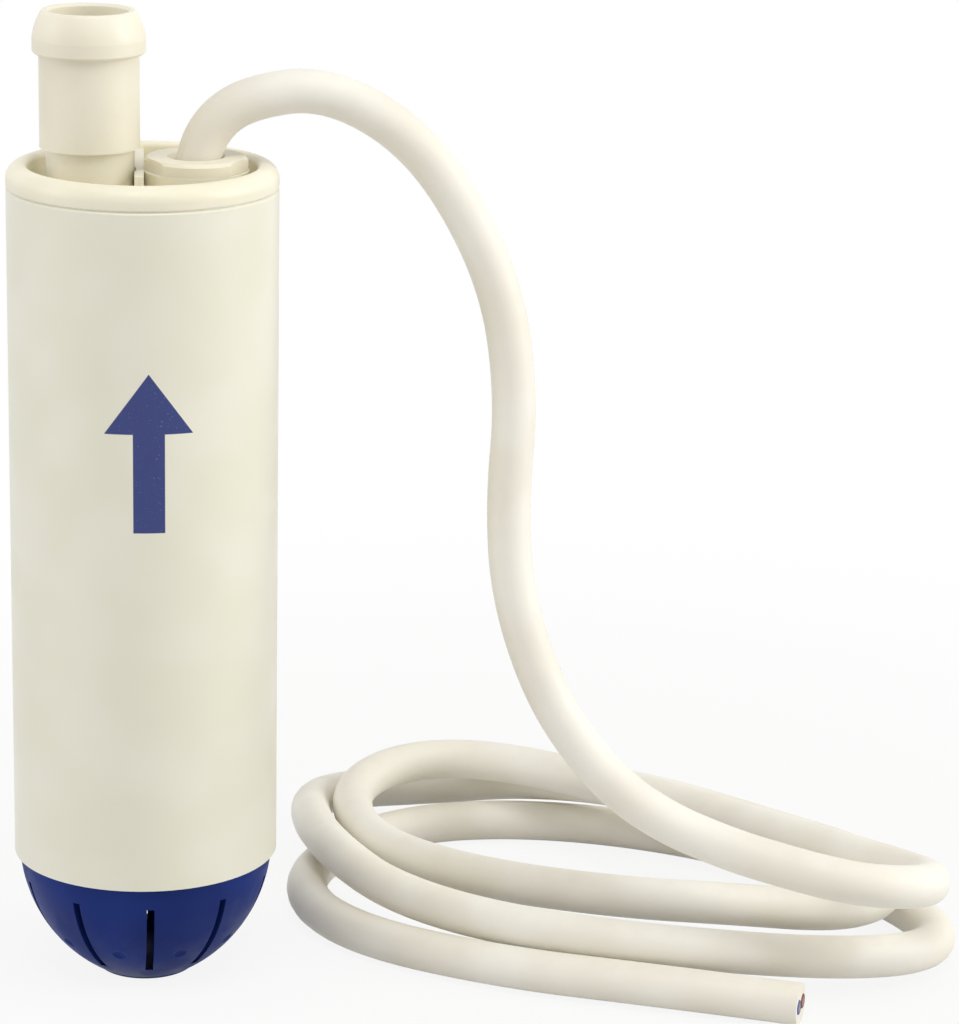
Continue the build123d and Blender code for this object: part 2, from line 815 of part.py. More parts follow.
def dome_arc(low, high, wall):
    """The dome's outline between two heights, an arc centred beyond the axis."""
    curve = dome_curve - wall
    start, finish = [
        math.degrees(math.asin((height - dome_widest) / curve)) for height in (low, high)
    ]
    return CenterArc((-dome_set_over, dome_widest), curve, start, finish - start)


def make_strainer():
    """The blue dome with its slots, dimples and bayonet collar."""
    foot = dome_at(foot_edge, 0) - foot_edge
    inside_top = strainer_top - dome_shoulder
    outer = dome_arc(foot_edge, strainer_top, 0)
    inner = dome_arc(foot_thickness, inside_top, dome_wall)
    start = Polyline((0, foot_thickness), (0, 0), (foot, 0), outer @ 0)
    rise = Polyline(
        outer @ 1,
        (collar_outer, strainer_top),
        (collar_outer, collar_top),
        (collar_inner, collar_top),
        (collar_inner, inside_top),
        inner @ 1,
    )
    strainer = turned([start, outer, rise, inner, Line(inner @ 0, (0, foot_thickness))])
    for cut in around(slot_count, make_slot(), slot_turn):
        strainer -= cut
    for cut in around(slot_count, make_dimple(), slot_turn + 180 / slot_count):
        strainer -= cut
    for cut in around(lug_count, make_lug_way()):
        strainer -= cut
    return strainer


def make_slot():
    """The cutter of one slot, facing -Y."""
    return block(slot_width, tube_radius, slot_low, slot_high, 0, -tube_radius / 2)


def make_dimple():
    """The cutter of one finger dimple: a ball that dips into the dome, facing -Y."""
    ball = (dimple_radius**2 + dimple_depth**2) / (2 * dimple_depth)
    surface = Vector(0, -dome_at(dimple_height, 0), dimple_height)
    outward = (surface - Vector(0, dome_set_over, dome_widest)).normalized()
    return Pos(*(surface + outward * (ball - dimple_depth))) * Sphere(ball)


def make_lug_way():
    """The cutter of one bayonet way in the collar: along the twist, then up and out."""
    margin = math.degrees(running_gap / skirt_inner)
    wide = lug_angle + 2 * margin
    low = lug_low - running_gap
    high = lug_top + running_gap
    over = collar_top + cut_overrun
    band = ring(collar_outer + cut_overrun, collar_inner - cut_overrun, low, over)
    along = band & wedge(tube_radius, wide + twist_range, low, high, -twist_range / 2)
    out = band & wedge(tube_radius, wide, low, over, -twist_range)
    return along + out


def lead_points():
    """The route of the free stretch, from the gland to the start of the coil."""
    way = coil_ways()[0]
    finish = coil_places()[0] - way * cable_diameter
    mouth = Vector(gland_offset, 0, gland_cap_top)
    span = finish - mouth
    route = [
        mouth + Vector(across * span.X, back * span.Y, down * span.Z)
        for across, back, down in lead_route_shares
    ]
    return [Vector(gland_offset, 0, sheath_high)] + route + [finish - way * lead_end_run, finish]


def make_cable_lead():
    """The free stretch of cable, as straight runs joined by tangent arcs."""
    points = lead_points()
    runs = [after - before for before, after in zip(points, points[1:])]
    radii = []
    for first, second in zip(runs, runs[1:]):
        half_turn = math.radians(first.get_angle(second) / 2)
        radii.append(bend_share * min(first.length, second.length) / math.tan(half_turn))
    print("lead runs", [round(run.length, 1) for run in runs])
    print("lead radii", [round(radius, 1) for radius in radii])
    path = FilletPolyline(*points, radius=radii)
    lead = sweep(Plane(origin=path @ 0, z_dir=path % 0) * Circle(cable_radius), path=path)
    report_tube("lead", lead, path.length)
    return lead


def coil_places():
    """Where the cable's middle passes at each stop of the coil."""
    return [Vector(*place) * cable_diameter for place, heading in coil_stops]


def coil_ways():
    """The cable's direction at each stop, climbing or falling with its neighbours."""
    places = coil_places()
    last = len(places) - 1
    ways = []
    for number, (place, heading) in enumerate(coil_stops):
        before = places[max(number - 1, 0)]
        after = places[min(number + 1, last)]
        span = after - before
        between = (places[number].Z - before.Z) * (after.Z - places[number].Z) > 0
        climbs = between or number in (0, last)
        slope = span.Z / math.hypot(span.X, span.Y) if climbs else 0
        turn = math.radians(heading)
        ways.append(Vector(math.cos(turn), math.sin(turn), slope).normalized())
    return ways


def biarc(start, start_way, end, end_way):
    """Two arcs that leave one stop and reach the next along the given ways."""
    span = end - start
    bend = 1 - start_way.dot(end_way)
    along = span.dot(start_way + end_way)
    reach = (math.sqrt(along**2 + 2 * bend * span.dot(span)) - along) / (2 * bend)
    first_corner = start + start_way * reach
    second_corner = end - end_way * reach
    joint = (first_corner + second_corner) / 2
    joint_way = (second_corner - first_corner).normalized()
    return [
        TangentArc(start, joint, tangent=start_way),
        TangentArc(joint, end, tangent=joint_way),
    ]


def coil_edges():
    """The coil's path: a straight end, two arcs from stop to stop, a straight end."""
    places = coil_places()
    ways = coil_ways()
    arcs = []
    for number in range(len(places) - 1):
        arcs += biarc(places[number], ways[number], places[number + 1], ways[number + 1])
    start = places[0] - ways[0] * cable_diameter
    finish = places[-1] + ways[-1] * cable_diameter
    return [Line(start, places[0])] + arcs + [Line(places[-1], finish)]


def make_cable_coil():
    """The three loose turns beside the pump, one unbroken tube with cored end."""
    edges = coil_edges()
    print("coil radii", [round(edge.radius, 1) for edge in edges[1:-1]])
    path = Wire([part for edge in edges for part in edge.edges()])
    section = Plane(origin=edges[0] @ 0, z_dir=edges[0] % 0) * Circle(cable_radius)
    coil = sweep(section, path=path)
    report_tube("coil", coil, path.length)
    print("coil least gap", round(coil_least_gap(edges), 2))
    for core in make_cable_cores():
        coil -= core
    return coil


def report_tube(name, tube, length):
    """Print a tube's length and its volume as a share of section times length."""
    share = tube.volume / (math.pi * cable_radius**2 * length)
    print(name, "length", round(length, 1), "volume share", round(share, 4))


def coil_least_gap(edges):
    """The smallest gap between stretches of the coil, measured on points."""
    samples = [
        (edge @ (step / arc_samples), edge.length / arc_samples)
        for edge in edges
        for step in range(arc_samples)
    ]
    travelled = 0
    marks = []
    for point, step_length in samples:
        marks.append((travelled, tuple(point)))
        travelled += step_length
    apart = neighbour_turns * cable_diameter
    gaps = [
        math.dist(first[1], second[1])
        for index, first in enumerate(marks)
        for second in marks[index:]
        if second[0] - first[0] > apart
    ]
    return min(gaps) - cable_diameter


def make_cable_cores():
    """The two insulated cores that show in the cable's cut end."""
    edge = coil_edges()[-1]
    way = edge % 1
    side = way.cross(Vector(0, 0, 1)).normalized()
    base = Plane(origin=(edge @ 1) - way * core_length, x_dir=side, z_dir=way)
    stand = (Align.CENTER, Align.CENTER, Align.MIN)
    core = Cylinder(core_diameter / 2, core_length, align=stand)
    return [base * Pos(place * core_spacing / 2, 0, 0) * core for place in (-1, 1)]


def make_pieces():
    """Every node of the pump by name."""
    rear_bush_low = rear_boss_top - bush_length
    front_bush_low = can_low - can_boss_height
    bush_bore = shaft_radius + bearing_gap
    pod_seal_height = plug_low + pod_neck_seal_lift
    return {
        "outer_tube": make_outer_tube(),
        "head": make_head(),
        "head_seal": o_ring(tube_inner - seal_section, plug_low + plug_seal_lift),
        "outlet_spigot": make_outlet_spigot(),
        "spigot_seal": o_ring(neck_radius, spigot_seal_height, -outlet_offset),
        "gland_cap": make_gland_cap(),
        "gland_washer": make_gland_washer(),
        "gland_grommet": make_gland_grommet(),
        "motor_pod": make_motor_pod(),
        "pod_neck_seal": o_ring(pod_neck_radius, pod_seal_height, gland_offset),
        "pod_base": make_pod_base(),
        "pod_base_seal": o_ring(pod_inner - seal_section, (base_top + can_low) / 2),
        "shaft_seal": make_shaft_seal(),
        "seal_retainer": ring(seal_pocket_radius, retainer_bore, base_low, retainer_top),
        "motor_can": make_motor_can(),
        "motor_end_cap": make_end_cap(),
        "front_bush": ring(bush_radius, bush_bore, front_bush_low, front_bush_low + bush_length),
        "rear_bush": ring(bush_radius, bush_bore, rear_bush_low, rear_boss_top),
        "magnets": make_magnets(),
        "magnet_clips": make_magnet_clips(),
        "motor_shaft": make_motor_shaft(),
        "rotor_core": make_rotor_core(),
        "rotor_windings": make_rotor_windings(),
        "commutator": make_commutator(),
        "brushes": make_brushes(),
        "brush_arms": make_brush_arms(),
        "terminals": make_terminals(),
        "suppressor": make_suppressor(),
        "wire_red": make_wire(1),
        "wire_black": make_wire(-1),
        "impeller": make_impeller(),
        "impeller_clip": ring(clip_radius, shaft_radius, shaft_low, shroud_low),
        "pump_casing": make_pump_casing(),
        "casing_screws": make_casing_screws(),
        "strainer": make_strainer(),
        "cable_entry": rod(cable_radius, sheath_low, sheath_high, gland_offset),
        "cable_lead": make_cable_lead(),
        "cable_coil": make_cable_coil(),
        "cable_cores": make_cable_cores(),
    }


def write_pieces(pieces):
    """Write one STEP file for each node."""
    os.makedirs("parts", exist_ok=True)
    for name, piece in pieces.items():
        items = piece if isinstance(piece, list) else [piece]
        solids = [solid for item in items for solid in item.solids()]
        export_step(solids[0] if len(solids) == 1 else Compound(solids), f"parts/{name}.step")


write_pieces(make_pieces())
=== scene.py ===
"""A 12 V submersible water pump on its cable, dressed for its portrait.

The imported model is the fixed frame. This script adds the camera and the studio,
models the cable and its cut end, winds the motor's coils and gives each piece
its finish.
"""

from __future__ import annotations

import logging
import math
from dataclasses import dataclass
from enum import Enum

import bmesh
import bpy
from mathutils import Matrix, Vector


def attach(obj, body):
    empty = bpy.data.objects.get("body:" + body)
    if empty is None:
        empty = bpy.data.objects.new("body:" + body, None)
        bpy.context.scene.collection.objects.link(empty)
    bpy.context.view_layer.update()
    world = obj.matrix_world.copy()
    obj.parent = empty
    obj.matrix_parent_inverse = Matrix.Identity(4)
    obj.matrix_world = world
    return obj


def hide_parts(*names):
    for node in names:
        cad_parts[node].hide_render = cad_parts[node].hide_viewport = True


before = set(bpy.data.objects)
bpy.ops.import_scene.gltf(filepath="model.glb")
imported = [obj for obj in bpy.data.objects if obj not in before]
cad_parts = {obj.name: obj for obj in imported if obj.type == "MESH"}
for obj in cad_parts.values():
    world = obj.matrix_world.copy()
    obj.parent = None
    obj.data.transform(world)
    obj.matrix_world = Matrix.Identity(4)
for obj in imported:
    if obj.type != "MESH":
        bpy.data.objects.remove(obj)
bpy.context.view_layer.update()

log = logging.getLogger("water_pump")

Colour = tuple[float, float, float]
Shade = tuple[float, float, float, float]
Point = tuple[float, float, float]
Socket = bpy.types.NodeSocket
Piece = bpy.types.Object

FULL_TURN = 2 * math.pi
WHITE = (1.0, 1.0, 1.0, 1.0)
PLASTIC_IOR = 1.5
COAT_ROUGHNESS = 0.2
BLEED_SHARES = (1.0, 0.8, 0.5)
BLEED_REACH = 0.003
DUST_COLOUR: Colour = (196, 188, 170)
DUST_ROUGHNESS = 0.4
SCUFF_ROUGHNESS = 0.25
SCUFF_SHARE = 0.25
EDGE_HALF = 0.00005


def linear(colour: Colour) -> Shade:
    """Turns a colour as it is seen into the one a shader takes.

    Args:
        colour: red, green and blue from 0 to 255.

    Returns:
        The same colour with linear channels and full alpha.
    """
    channels = []
    for value in colour:
        share = value / 255
        channels.append(share / 12.92 if share <= 0.04045 else ((share + 0.055) / 1.055) ** 2.4)
    return (*channels, 1.0)


class Graph:
    """Adds nodes to a tree and joins them."""

    def __init__(self, tree: bpy.types.NodeTree) -> None:
        """Takes the tree and empties it."""
        self.tree = tree
        tree.nodes.clear()

    def add(self, kind: str, **values: object) -> bpy.types.Node:
        """Adds a node.

        Args:
            kind: the node's type name.
            values: its settings by attribute name.

        Returns:
            The new node.
        """
        node = self.tree.nodes.new(kind)
        for name, value in values.items():
            setattr(node, name, value)
        return node

    def put(self, node: bpy.types.Node, **values: object) -> bpy.types.Node:
        """Sets a node's inputs, or joins them to outputs of other nodes.

        Args:
            node: the node that gets them.
            values: by input name with _ for a space, or by i and the input's place, a
                plain value or an output.

        Returns:
            The same node.
        """
        for name, value in values.items():
            by_place = name[0] == "i" and name[1:].isdigit()
            key = int(name[1:]) if by_place else name.replace("_", " ")
            socket = node.inputs[key]
            if isinstance(value, Socket):
                self.tree.links.new(value, socket)
            else:
                socket.default_value = value
        return node

    def make(self, kind: str, **values: object) -> bpy.types.Node:
        """Adds a node and sets its inputs.

        Args:
            kind: the node's type name.
            values: its inputs, as put takes them.

        Returns:
            The new node.
        """
        return self.put(self.add(kind), **values)

    def split(self, vector: Socket) -> tuple[Socket, ...]:
        """Takes a vector apart.

        Args:
            vector: the output that gives it.

        Returns:
            The outputs of its X, Y and Z.
        """
        return tuple(self.make("ShaderNodeSeparateXYZ", Vector=vector).outputs)

    def math(self, operation: str, *values: object) -> Socket:
        """Adds a Math node.

        Args:
            operation: what it does.
            values: its numbers or the outputs that give them.

        Returns:
            The result's output.
        """
        node = self.add("ShaderNodeMath", operation=operation)
        self.put(node, **{f"i{place}": value for place, value in enumerate(values)})
        return node.outputs[0]

    def ramp(self, value: Socket, low: float, high: float, start: float = 0.0,
             end: float = 1.0) -> Socket:
        """Maps low..high of a value to start..end, with soft ends.

        Args:
            value: the output that gives the value.
            low: the value that gives start.
            high: the value that gives end.
            start: the first result.
            end: the last result.

        Returns:
            The result's output.
        """
        node = self.add("ShaderNodeMapRange", interpolation_type="SMOOTHSTEP")
        self.put(node, Value=value, From_Min=low, From_Max=high, To_Min=start, To_Max=end)
        return node.outputs["Result"]

    def blend(self, share: object, first: object, second: object) -> Socket:
        """Mixes two colours.

        Args:
            share: how much of the second is taken.
            first: a colour, or the output that gives it.
            second: a colour, or the output that gives it.

        Returns:
            The mixed colour's output.
        """
        node = self.add("ShaderNodeMix", data_type="RGBA")
        return self.put(node, i0=share, i6=first, i7=second).outputs[2]

    def noise(self, place: Socket, size: object, detail: float) -> Socket:
        """Adds a noise whose blotches have a size in metres.

        Args:
            place: the output that gives the place.
            size: the blotch size, or the output that gives it.
            detail: how many finer layers it has.

        Returns:
            The noise's output, about 0.3 to 0.7.
        """
        scale = self.math("DIVIDE", 1.0, size)
        noise = self.make("ShaderNodeTexNoise", Vector=place, Scale=scale, Detail=detail,
                          Roughness=0.5)
        return noise.outputs["Fac"]

    def edge(self, more: Socket, less: Socket) -> Socket:
        """Compares two lengths, with a soft step between them.

        Args:
            more: the output that gives the first, in metres.
            less: the output that gives the second.

        Returns:
            The output that is 1 where the first is the larger and 0 elsewhere.
        """
        return self.ramp(self.math("SUBTRACT", more, less), -EDGE_HALF, EDGE_HALF)


class Effect(Enum):
    """The shared surface effects, each of them a shader node group."""

    MOULD = "mould grain"
    TOOLING = "tooling marks"
    DUST = "dust"
    SCUFF = "scuffs"
    SHEETS = "stacked sheets"
    PRINT = "flow mark"
    # mask of the painted bounce light low in the head's well
    DEPTH = "painted well light mask"


class EffectShelf:
    """Builds each shared effect once and hands it out."""

    def __init__(self) -> None:
        """Builds the groups."""
        self.groups: dict[Effect, bpy.types.NodeTree] = {}
        self._mould()
        self._tooling()
        self._dust()
        self._scuff()
        self._sheets()
        self._print()
        self._depth()

    def _open(self, effect: Effect, *outputs: str, **inputs: float) -> tuple:
        """Starts a group with a Place input, number inputs and number outputs.

        Args:
            effect: which effect it is.
            outputs: names of the outputs.
            inputs: number inputs with their first values.

        Returns:
            The graph, the outputs of the place and of all its inputs, and its output node.
        """
        tree = bpy.data.node_groups.new(effect.value, "ShaderNodeTree")
        tree.interface.new_socket("Place", in_out="INPUT", socket_type="NodeSocketVector")
        for name, value in inputs.items():
            socket = tree.interface.new_socket(name, in_out="INPUT", socket_type="NodeSocketFloat")
            socket.default_value = value
        for name in outputs:
            tree.interface.new_socket(name, in_out="OUTPUT", socket_type="NodeSocketFloat")
        graph = Graph(tree)
        self.groups[effect] = tree
        given = graph.add("NodeGroupInput").outputs
        return graph, given["Place"], given, graph.add("NodeGroupOutput")

    def _mould(self) -> None:
        """Moulded plastic: a fine spark grain, and tone that drifts over the piece."""
        graph, place, given, result = self._open(
            Effect.MOULD, "Tone", "Height", "Polish", Grain=0.0004, Drift=0.014
        )
        fine = graph.noise(place, given["Grain"], 3.0)
        slow = graph.noise(place, given["Drift"], 1.0)
        pool = graph.noise(place, graph.math("MULTIPLY", given["Drift"], 0.4), 3.0)
        polish = graph.ramp(pool, 0.3, 0.7)
        graph.put(result, Tone=graph.ramp(slow, 0.35, 0.65), Height=fine, Polish=polish)

    def _tooling(self) -> None:
        """Turned or drawn metal: fine rings across the axis, broken up a little."""
        graph, place, given, result = self._open(Effect.TOOLING, "Tone", "Height", Pitch=0.0003)
        height = graph.split(place)[2]
        wander = graph.noise(place, 0.004, 2.0)
        along = graph.math("DIVIDE", height, given["Pitch"])
        ring = graph.math("SINE", graph.math("MULTIPLY", along, FULL_TURN))
        lane = graph.add("ShaderNodeTexNoise", noise_dimensions="1D")
        graph.put(lane, W=along, Scale=0.7, Detail=2.0)
        groove = graph.math("ADD", graph.math("MULTIPLY", ring, 0.3), lane.outputs["Fac"])
        tone = graph.math("MULTIPLY", graph.math("ADD", wander, lane.outputs["Fac"]), 0.5)
        graph.put(result, Tone=graph.ramp(tone, 0.38, 0.62), Height=groove)

    def _dust(self) -> None:
        """Dust that settles in patches, most of it where a surface faces up."""
        graph, place, given, result = self._open(Effect.DUST, "Mask", Amount=0.3, Size=0.003)
        facing = graph.split(graph.add("ShaderNodeNewGeometry").outputs["Normal"])[2]
        patch = graph.ramp(graph.noise(place, given["Size"], 4.0), 0.45, 0.7)
        upward = graph.ramp(facing, 0.2, 1.0, 0.15, 1.0)
        mask = graph.math("MULTIPLY", graph.math("MULTIPLY", patch, upward), given["Amount"])
        graph.put(result, Mask=mask)

    def _scuff(self) -> None:
        """Hairline scuffs from handling, in short crossed strokes."""
        graph, place, given, result = self._open(Effect.SCUFF, "Mask", Size=0.004, Amount=0.5)
        strokes = []
        for turn, stretch in ((0.5, (1.0, 9.0, 6.0)), (2.1, (7.0, 1.0, 9.0))):
            mapping = graph.make("ShaderNodeMapping", Vector=place, Scale=stretch,
                                 Rotation=(turn, turn / 2, turn / 3))
            stroke = graph.noise(mapping.outputs["Vector"], given["Size"], 1.0)
            away = graph.math("ABSOLUTE", graph.math("SUBTRACT", stroke, 0.5))
            strokes.append(graph.ramp(away, 0.0, 0.012, 1.0, 0.0))
        patch = graph.ramp(graph.noise(place, 0.012, 1.0), 0.5, 0.68)
        lines = graph.math("MULTIPLY", graph.math("MAXIMUM", *strokes), patch)
        graph.put(result, Mask=graph.math("MULTIPLY", lines, given["Amount"]))

    def _sheets(self) -> None:
        """Thin sheets with rounded edges, stacked along the Z axis."""
        graph, place, given, result = self._open(Effect.SHEETS, "Tone", "Height", Sheet=0.0004)
        along = graph.math("DIVIDE", graph.split(place)[2], given["Sheet"])
        wave = graph.math("SINE", graph.math("MULTIPLY", along, math.pi))
        crest = graph.math("ABSOLUTE", wave)
        graph.put(result, Tone=crest, Height=crest)

    def _print(self) -> None:
        """A plain flow arrow printed on the tube's front: a head over a shaft."""
        graph, place, given, result = self._open(
            Effect.PRINT, "Mask", Radius=0.019, Turn=0.0, Foot=0.0, Tip=0.01, Head=0.004,
            Half=0.003, Shaft=0.001
        )
        across, back, height = graph.split(place)
        round_tube = graph.math("ARCTAN2", across, graph.math("MULTIPLY", back, -1.0))
        angle = graph.math("SUBTRACT", round_tube, given["Turn"])
        side = graph.math("ABSOLUTE", graph.math("MULTIPLY", angle, given["Radius"]))
        shoulder = graph.math("SUBTRACT", given["Tip"], given["Head"])
        from_tip = graph.math("SUBTRACT", given["Tip"], height)
        down_head = graph.math("DIVIDE", from_tip, given["Head"])
        slope = graph.math("MULTIPLY", down_head, given["Half"])
        above = graph.edge(height, shoulder)
        head = graph.math("MULTIPLY", graph.edge(slope, side), above)
        low = graph.edge(height, given["Foot"])
        high = graph.edge(graph.math("ADD", shoulder, given["Shaft"]), height)
        within = graph.edge(given["Shaft"], side)
        shaft = graph.math("MULTIPLY", graph.math("MULTIPLY", low, high), within)
        graph.put(result, Mask=graph.math("MAXIMUM", head, shaft))

    def _depth(self) -> None:
        """How far down a place lies in the well of the head, inside its rim: the mask of the
        painted bounce light there.
        """
        graph, place, given, result = self._open(
            Effect.DEPTH, "Mask", Floor=0.11, Brim=0.1187, Wall=0.0162
        )
        *level, height = graph.split(place)
        sunk = graph.ramp(height, given["Floor"], given["Brim"], 1.0, 0.0)
        squares = [graph.math("POWER", part, 2.0) for part in level]
        from_axis = graph.math("SQRT", graph.math("ADD", *squares))
        inside = graph.edge(given["Wall"], from_axis)
        graph.put(result, Mask=graph.math("MULTIPLY", sunk, inside))


class Texture(Enum):
    """What a finish's surface is like."""

    MOULDED = "moulded plastic"
    TURNED = "turned or drawn metal"
    STACKED = "stacked sheet metal"
    PRESSED = "pressed or fired grains"


@dataclass(frozen=True)
class Ground:
    """What a finish is built on.

    Attributes:
        graph: the material's graph.
        effects: the shared effects.
        place: the output that gives the place.
    """

    graph: Graph
    effects: EffectShelf
    place: Socket

    def lay(self, effect: Effect, **values: object) -> bpy.types.bpy_prop_collection:
        """Places a shared effect.

        Args:
            effect: which effect it is.
            values: its inputs by name.

        Returns:
            The effect's outputs.
        """
        group = self.graph.add("ShaderNodeGroup", node_tree=self.effects.groups[effect])
        return self.graph.put(group, Place=self.place, **values).outputs


@dataclass(frozen=True)
class Finish:
    """One finish of the pump.

    Attributes:
        name: the material's name.
        colour: its main colour as it is seen, 0 to 255.
        second: the colour that it drifts to.
        texture: what its surface is like.
        rough: its smoothest and its roughest.
        grain: size of the grain, pitch of the rings or thickness of a sheet, in metres.
        relief: depth of that grain in metres.
        metallic: 1 for bare metal.
        coat: how much clear gloss lies over it.
        scuff: how strongly hairlines show.
        dust: how much dust lies on it.
        painted_well_light: painted bounce light, a warmer and lighter colour that stands in for
            light caught low in the head's well.
        shine: how strongly it mirrors, where 0.5 is plain plastic.
        subsurface: how much light passes under its surface.
    """

    name: str
    colour: Colour
    second: Colour
    texture: Texture = Texture.MOULDED
    rough: tuple[float, float] = (0.4, 0.55)
    grain: float = 0.0004
    relief: float = 0.00001
    metallic: float = 0.0
    coat: float = 0.0
    scuff: float = 0.0
    dust: float = 0.0
    painted_well_light: Colour | None = None
    shine: float = 0.5
    subsurface: float = 0.0

    def material(self, effects: EffectShelf) -> bpy.types.Material:
        """Builds the finish's material.

        Args:
            effects: the shared effects.

        Returns:
            The material.
        """
        made = bpy.data.materials.new(self.name)
        made.use_nodes = True
        graph = Graph(made.node_tree)
        ground = Ground(graph, effects, graph.add("ShaderNodeTexCoord").outputs["Object"])
        colour, rough, height = self._surface(ground)
        wear = (
            (Effect.SCUFF, self.scuff, SCUFF_ROUGHNESS, SCUFF_SHARE, self.second),
            (Effect.DUST, self.dust, DUST_ROUGHNESS, 1.0, DUST_COLOUR),
        )
        for effect, amount, dulling, share, tint in wear:
            if amount:
                mask = ground.lay(effect, Amount=amount)["Mask"]
                rough = graph.math("ADD", rough, graph.math("MULTIPLY", mask, dulling))
                cover = graph.math("MULTIPLY", mask, share)
                colour = graph.blend(cover, colour, linear(tint))
        colour = self.marked(ground, colour)
        bump = graph.make("ShaderNodeBump", Strength=1.0, Distance=self.relief, Height=height)
        shader = graph.make(
            "ShaderNodeBsdfPrincipled", Base_Color=colour, Roughness=rough,
            Metallic=self.metallic, Normal=bump.outputs["Normal"],
            Specular_IOR_Level=self.shine, Coat_Weight=self.coat,
            Coat_Roughness=COAT_ROUGHNESS, IOR=PLASTIC_IOR,
        )
        if self.subsurface:
            graph.put(shader, Subsurface_Weight=self.subsurface, Subsurface_Radius=BLEED_SHARES,
                      Subsurface_Scale=BLEED_REACH)
        graph.make("ShaderNodeOutputMaterial", Surface=shader.outputs["BSDF"])
        return made

    def _surface(self, ground: Ground) -> tuple[Socket, ...]:
        """Adds what the texture asks for.

        Args:
            ground: what the finish is built on.

        Returns:
            The outputs of colour, roughness and height.
        """
        graph = ground.graph
        if self.texture in (Texture.MOULDED, Texture.PRESSED):
            result = ground.lay(Effect.MOULD, Grain=self.grain)
            polish = result["Height" if self.texture is Texture.PRESSED else "Polish"]
        else:
            turned = self.texture is Texture.TURNED
            kind, size = (Effect.TOOLING, "Pitch") if turned else (Effect.SHEETS, "Sheet")
            result = ground.lay(kind, **{size: self.grain})
            polish = result["Tone"]
        colour = graph.blend(result["Tone"], linear(self.colour), linear(self.second))
        # Painted bounce light: low in the head's well the colour turns warmer and lighter,
        # standing in for light caught there.
        if self.painted_well_light:
            colour = graph.blend(ground.lay(Effect.DEPTH)["Mask"], colour, linear(self.painted_well_light))
        return colour, graph.ramp(polish, 0.0, 1.0, *self.rough), result["Height"]

    def marked(self, ground: Ground, colour: Socket) -> Socket:
        """Leaves the colour as it is: a plain finish has no mark."""
        return colour


@dataclass(frozen=True)
class PrintedFinish(Finish):
    """The tube's finish, with a plain flow arrow printed on its front.

    Attributes:
        ink: the print's colour as it is seen.
        turn: the arrow's middle, in degrees to the right of straight ahead.
        foot: height of the arrow's lower end.
        tip: height of its point.
        head: height of its head.
        half: half of the head's width.
        shaft: half of the shaft's width.
        speck: size of the specks where the ink is thin.
    """

    ink: Colour = (42, 56, 120)
    turn: float = 2.0
    foot: float = 0.071
    tip: float = 0.0935
    head: float = 0.0085
    half: float = 0.0062
    shaft: float = 0.0022
    speck: float = 0.00025

    def marked(self, ground: Ground, colour: Socket) -> Socket:
        """Lays the arrow's ink over the colour.

        Args:
            ground: what the finish is built on.
            colour: the output that gives the bare colour.

        Returns:
            The output of the printed colour.
        """
        arrow = ground.lay(Effect.PRINT, Foot=self.foot, Turn=math.radians(self.turn),
                           Tip=self.tip, Head=self.head, Half=self.half, Shaft=self.shaft)
        specks = ground.lay(Effect.MOULD, Grain=self.speck)
        thickness = ground.graph.ramp(specks["Height"], 0.25, 0.36, 0.82, 1.0)
        cover = ground.graph.math("MULTIPLY", arrow["Mask"], thickness)
        return ground.graph.blend(cover, colour, linear(self.ink))


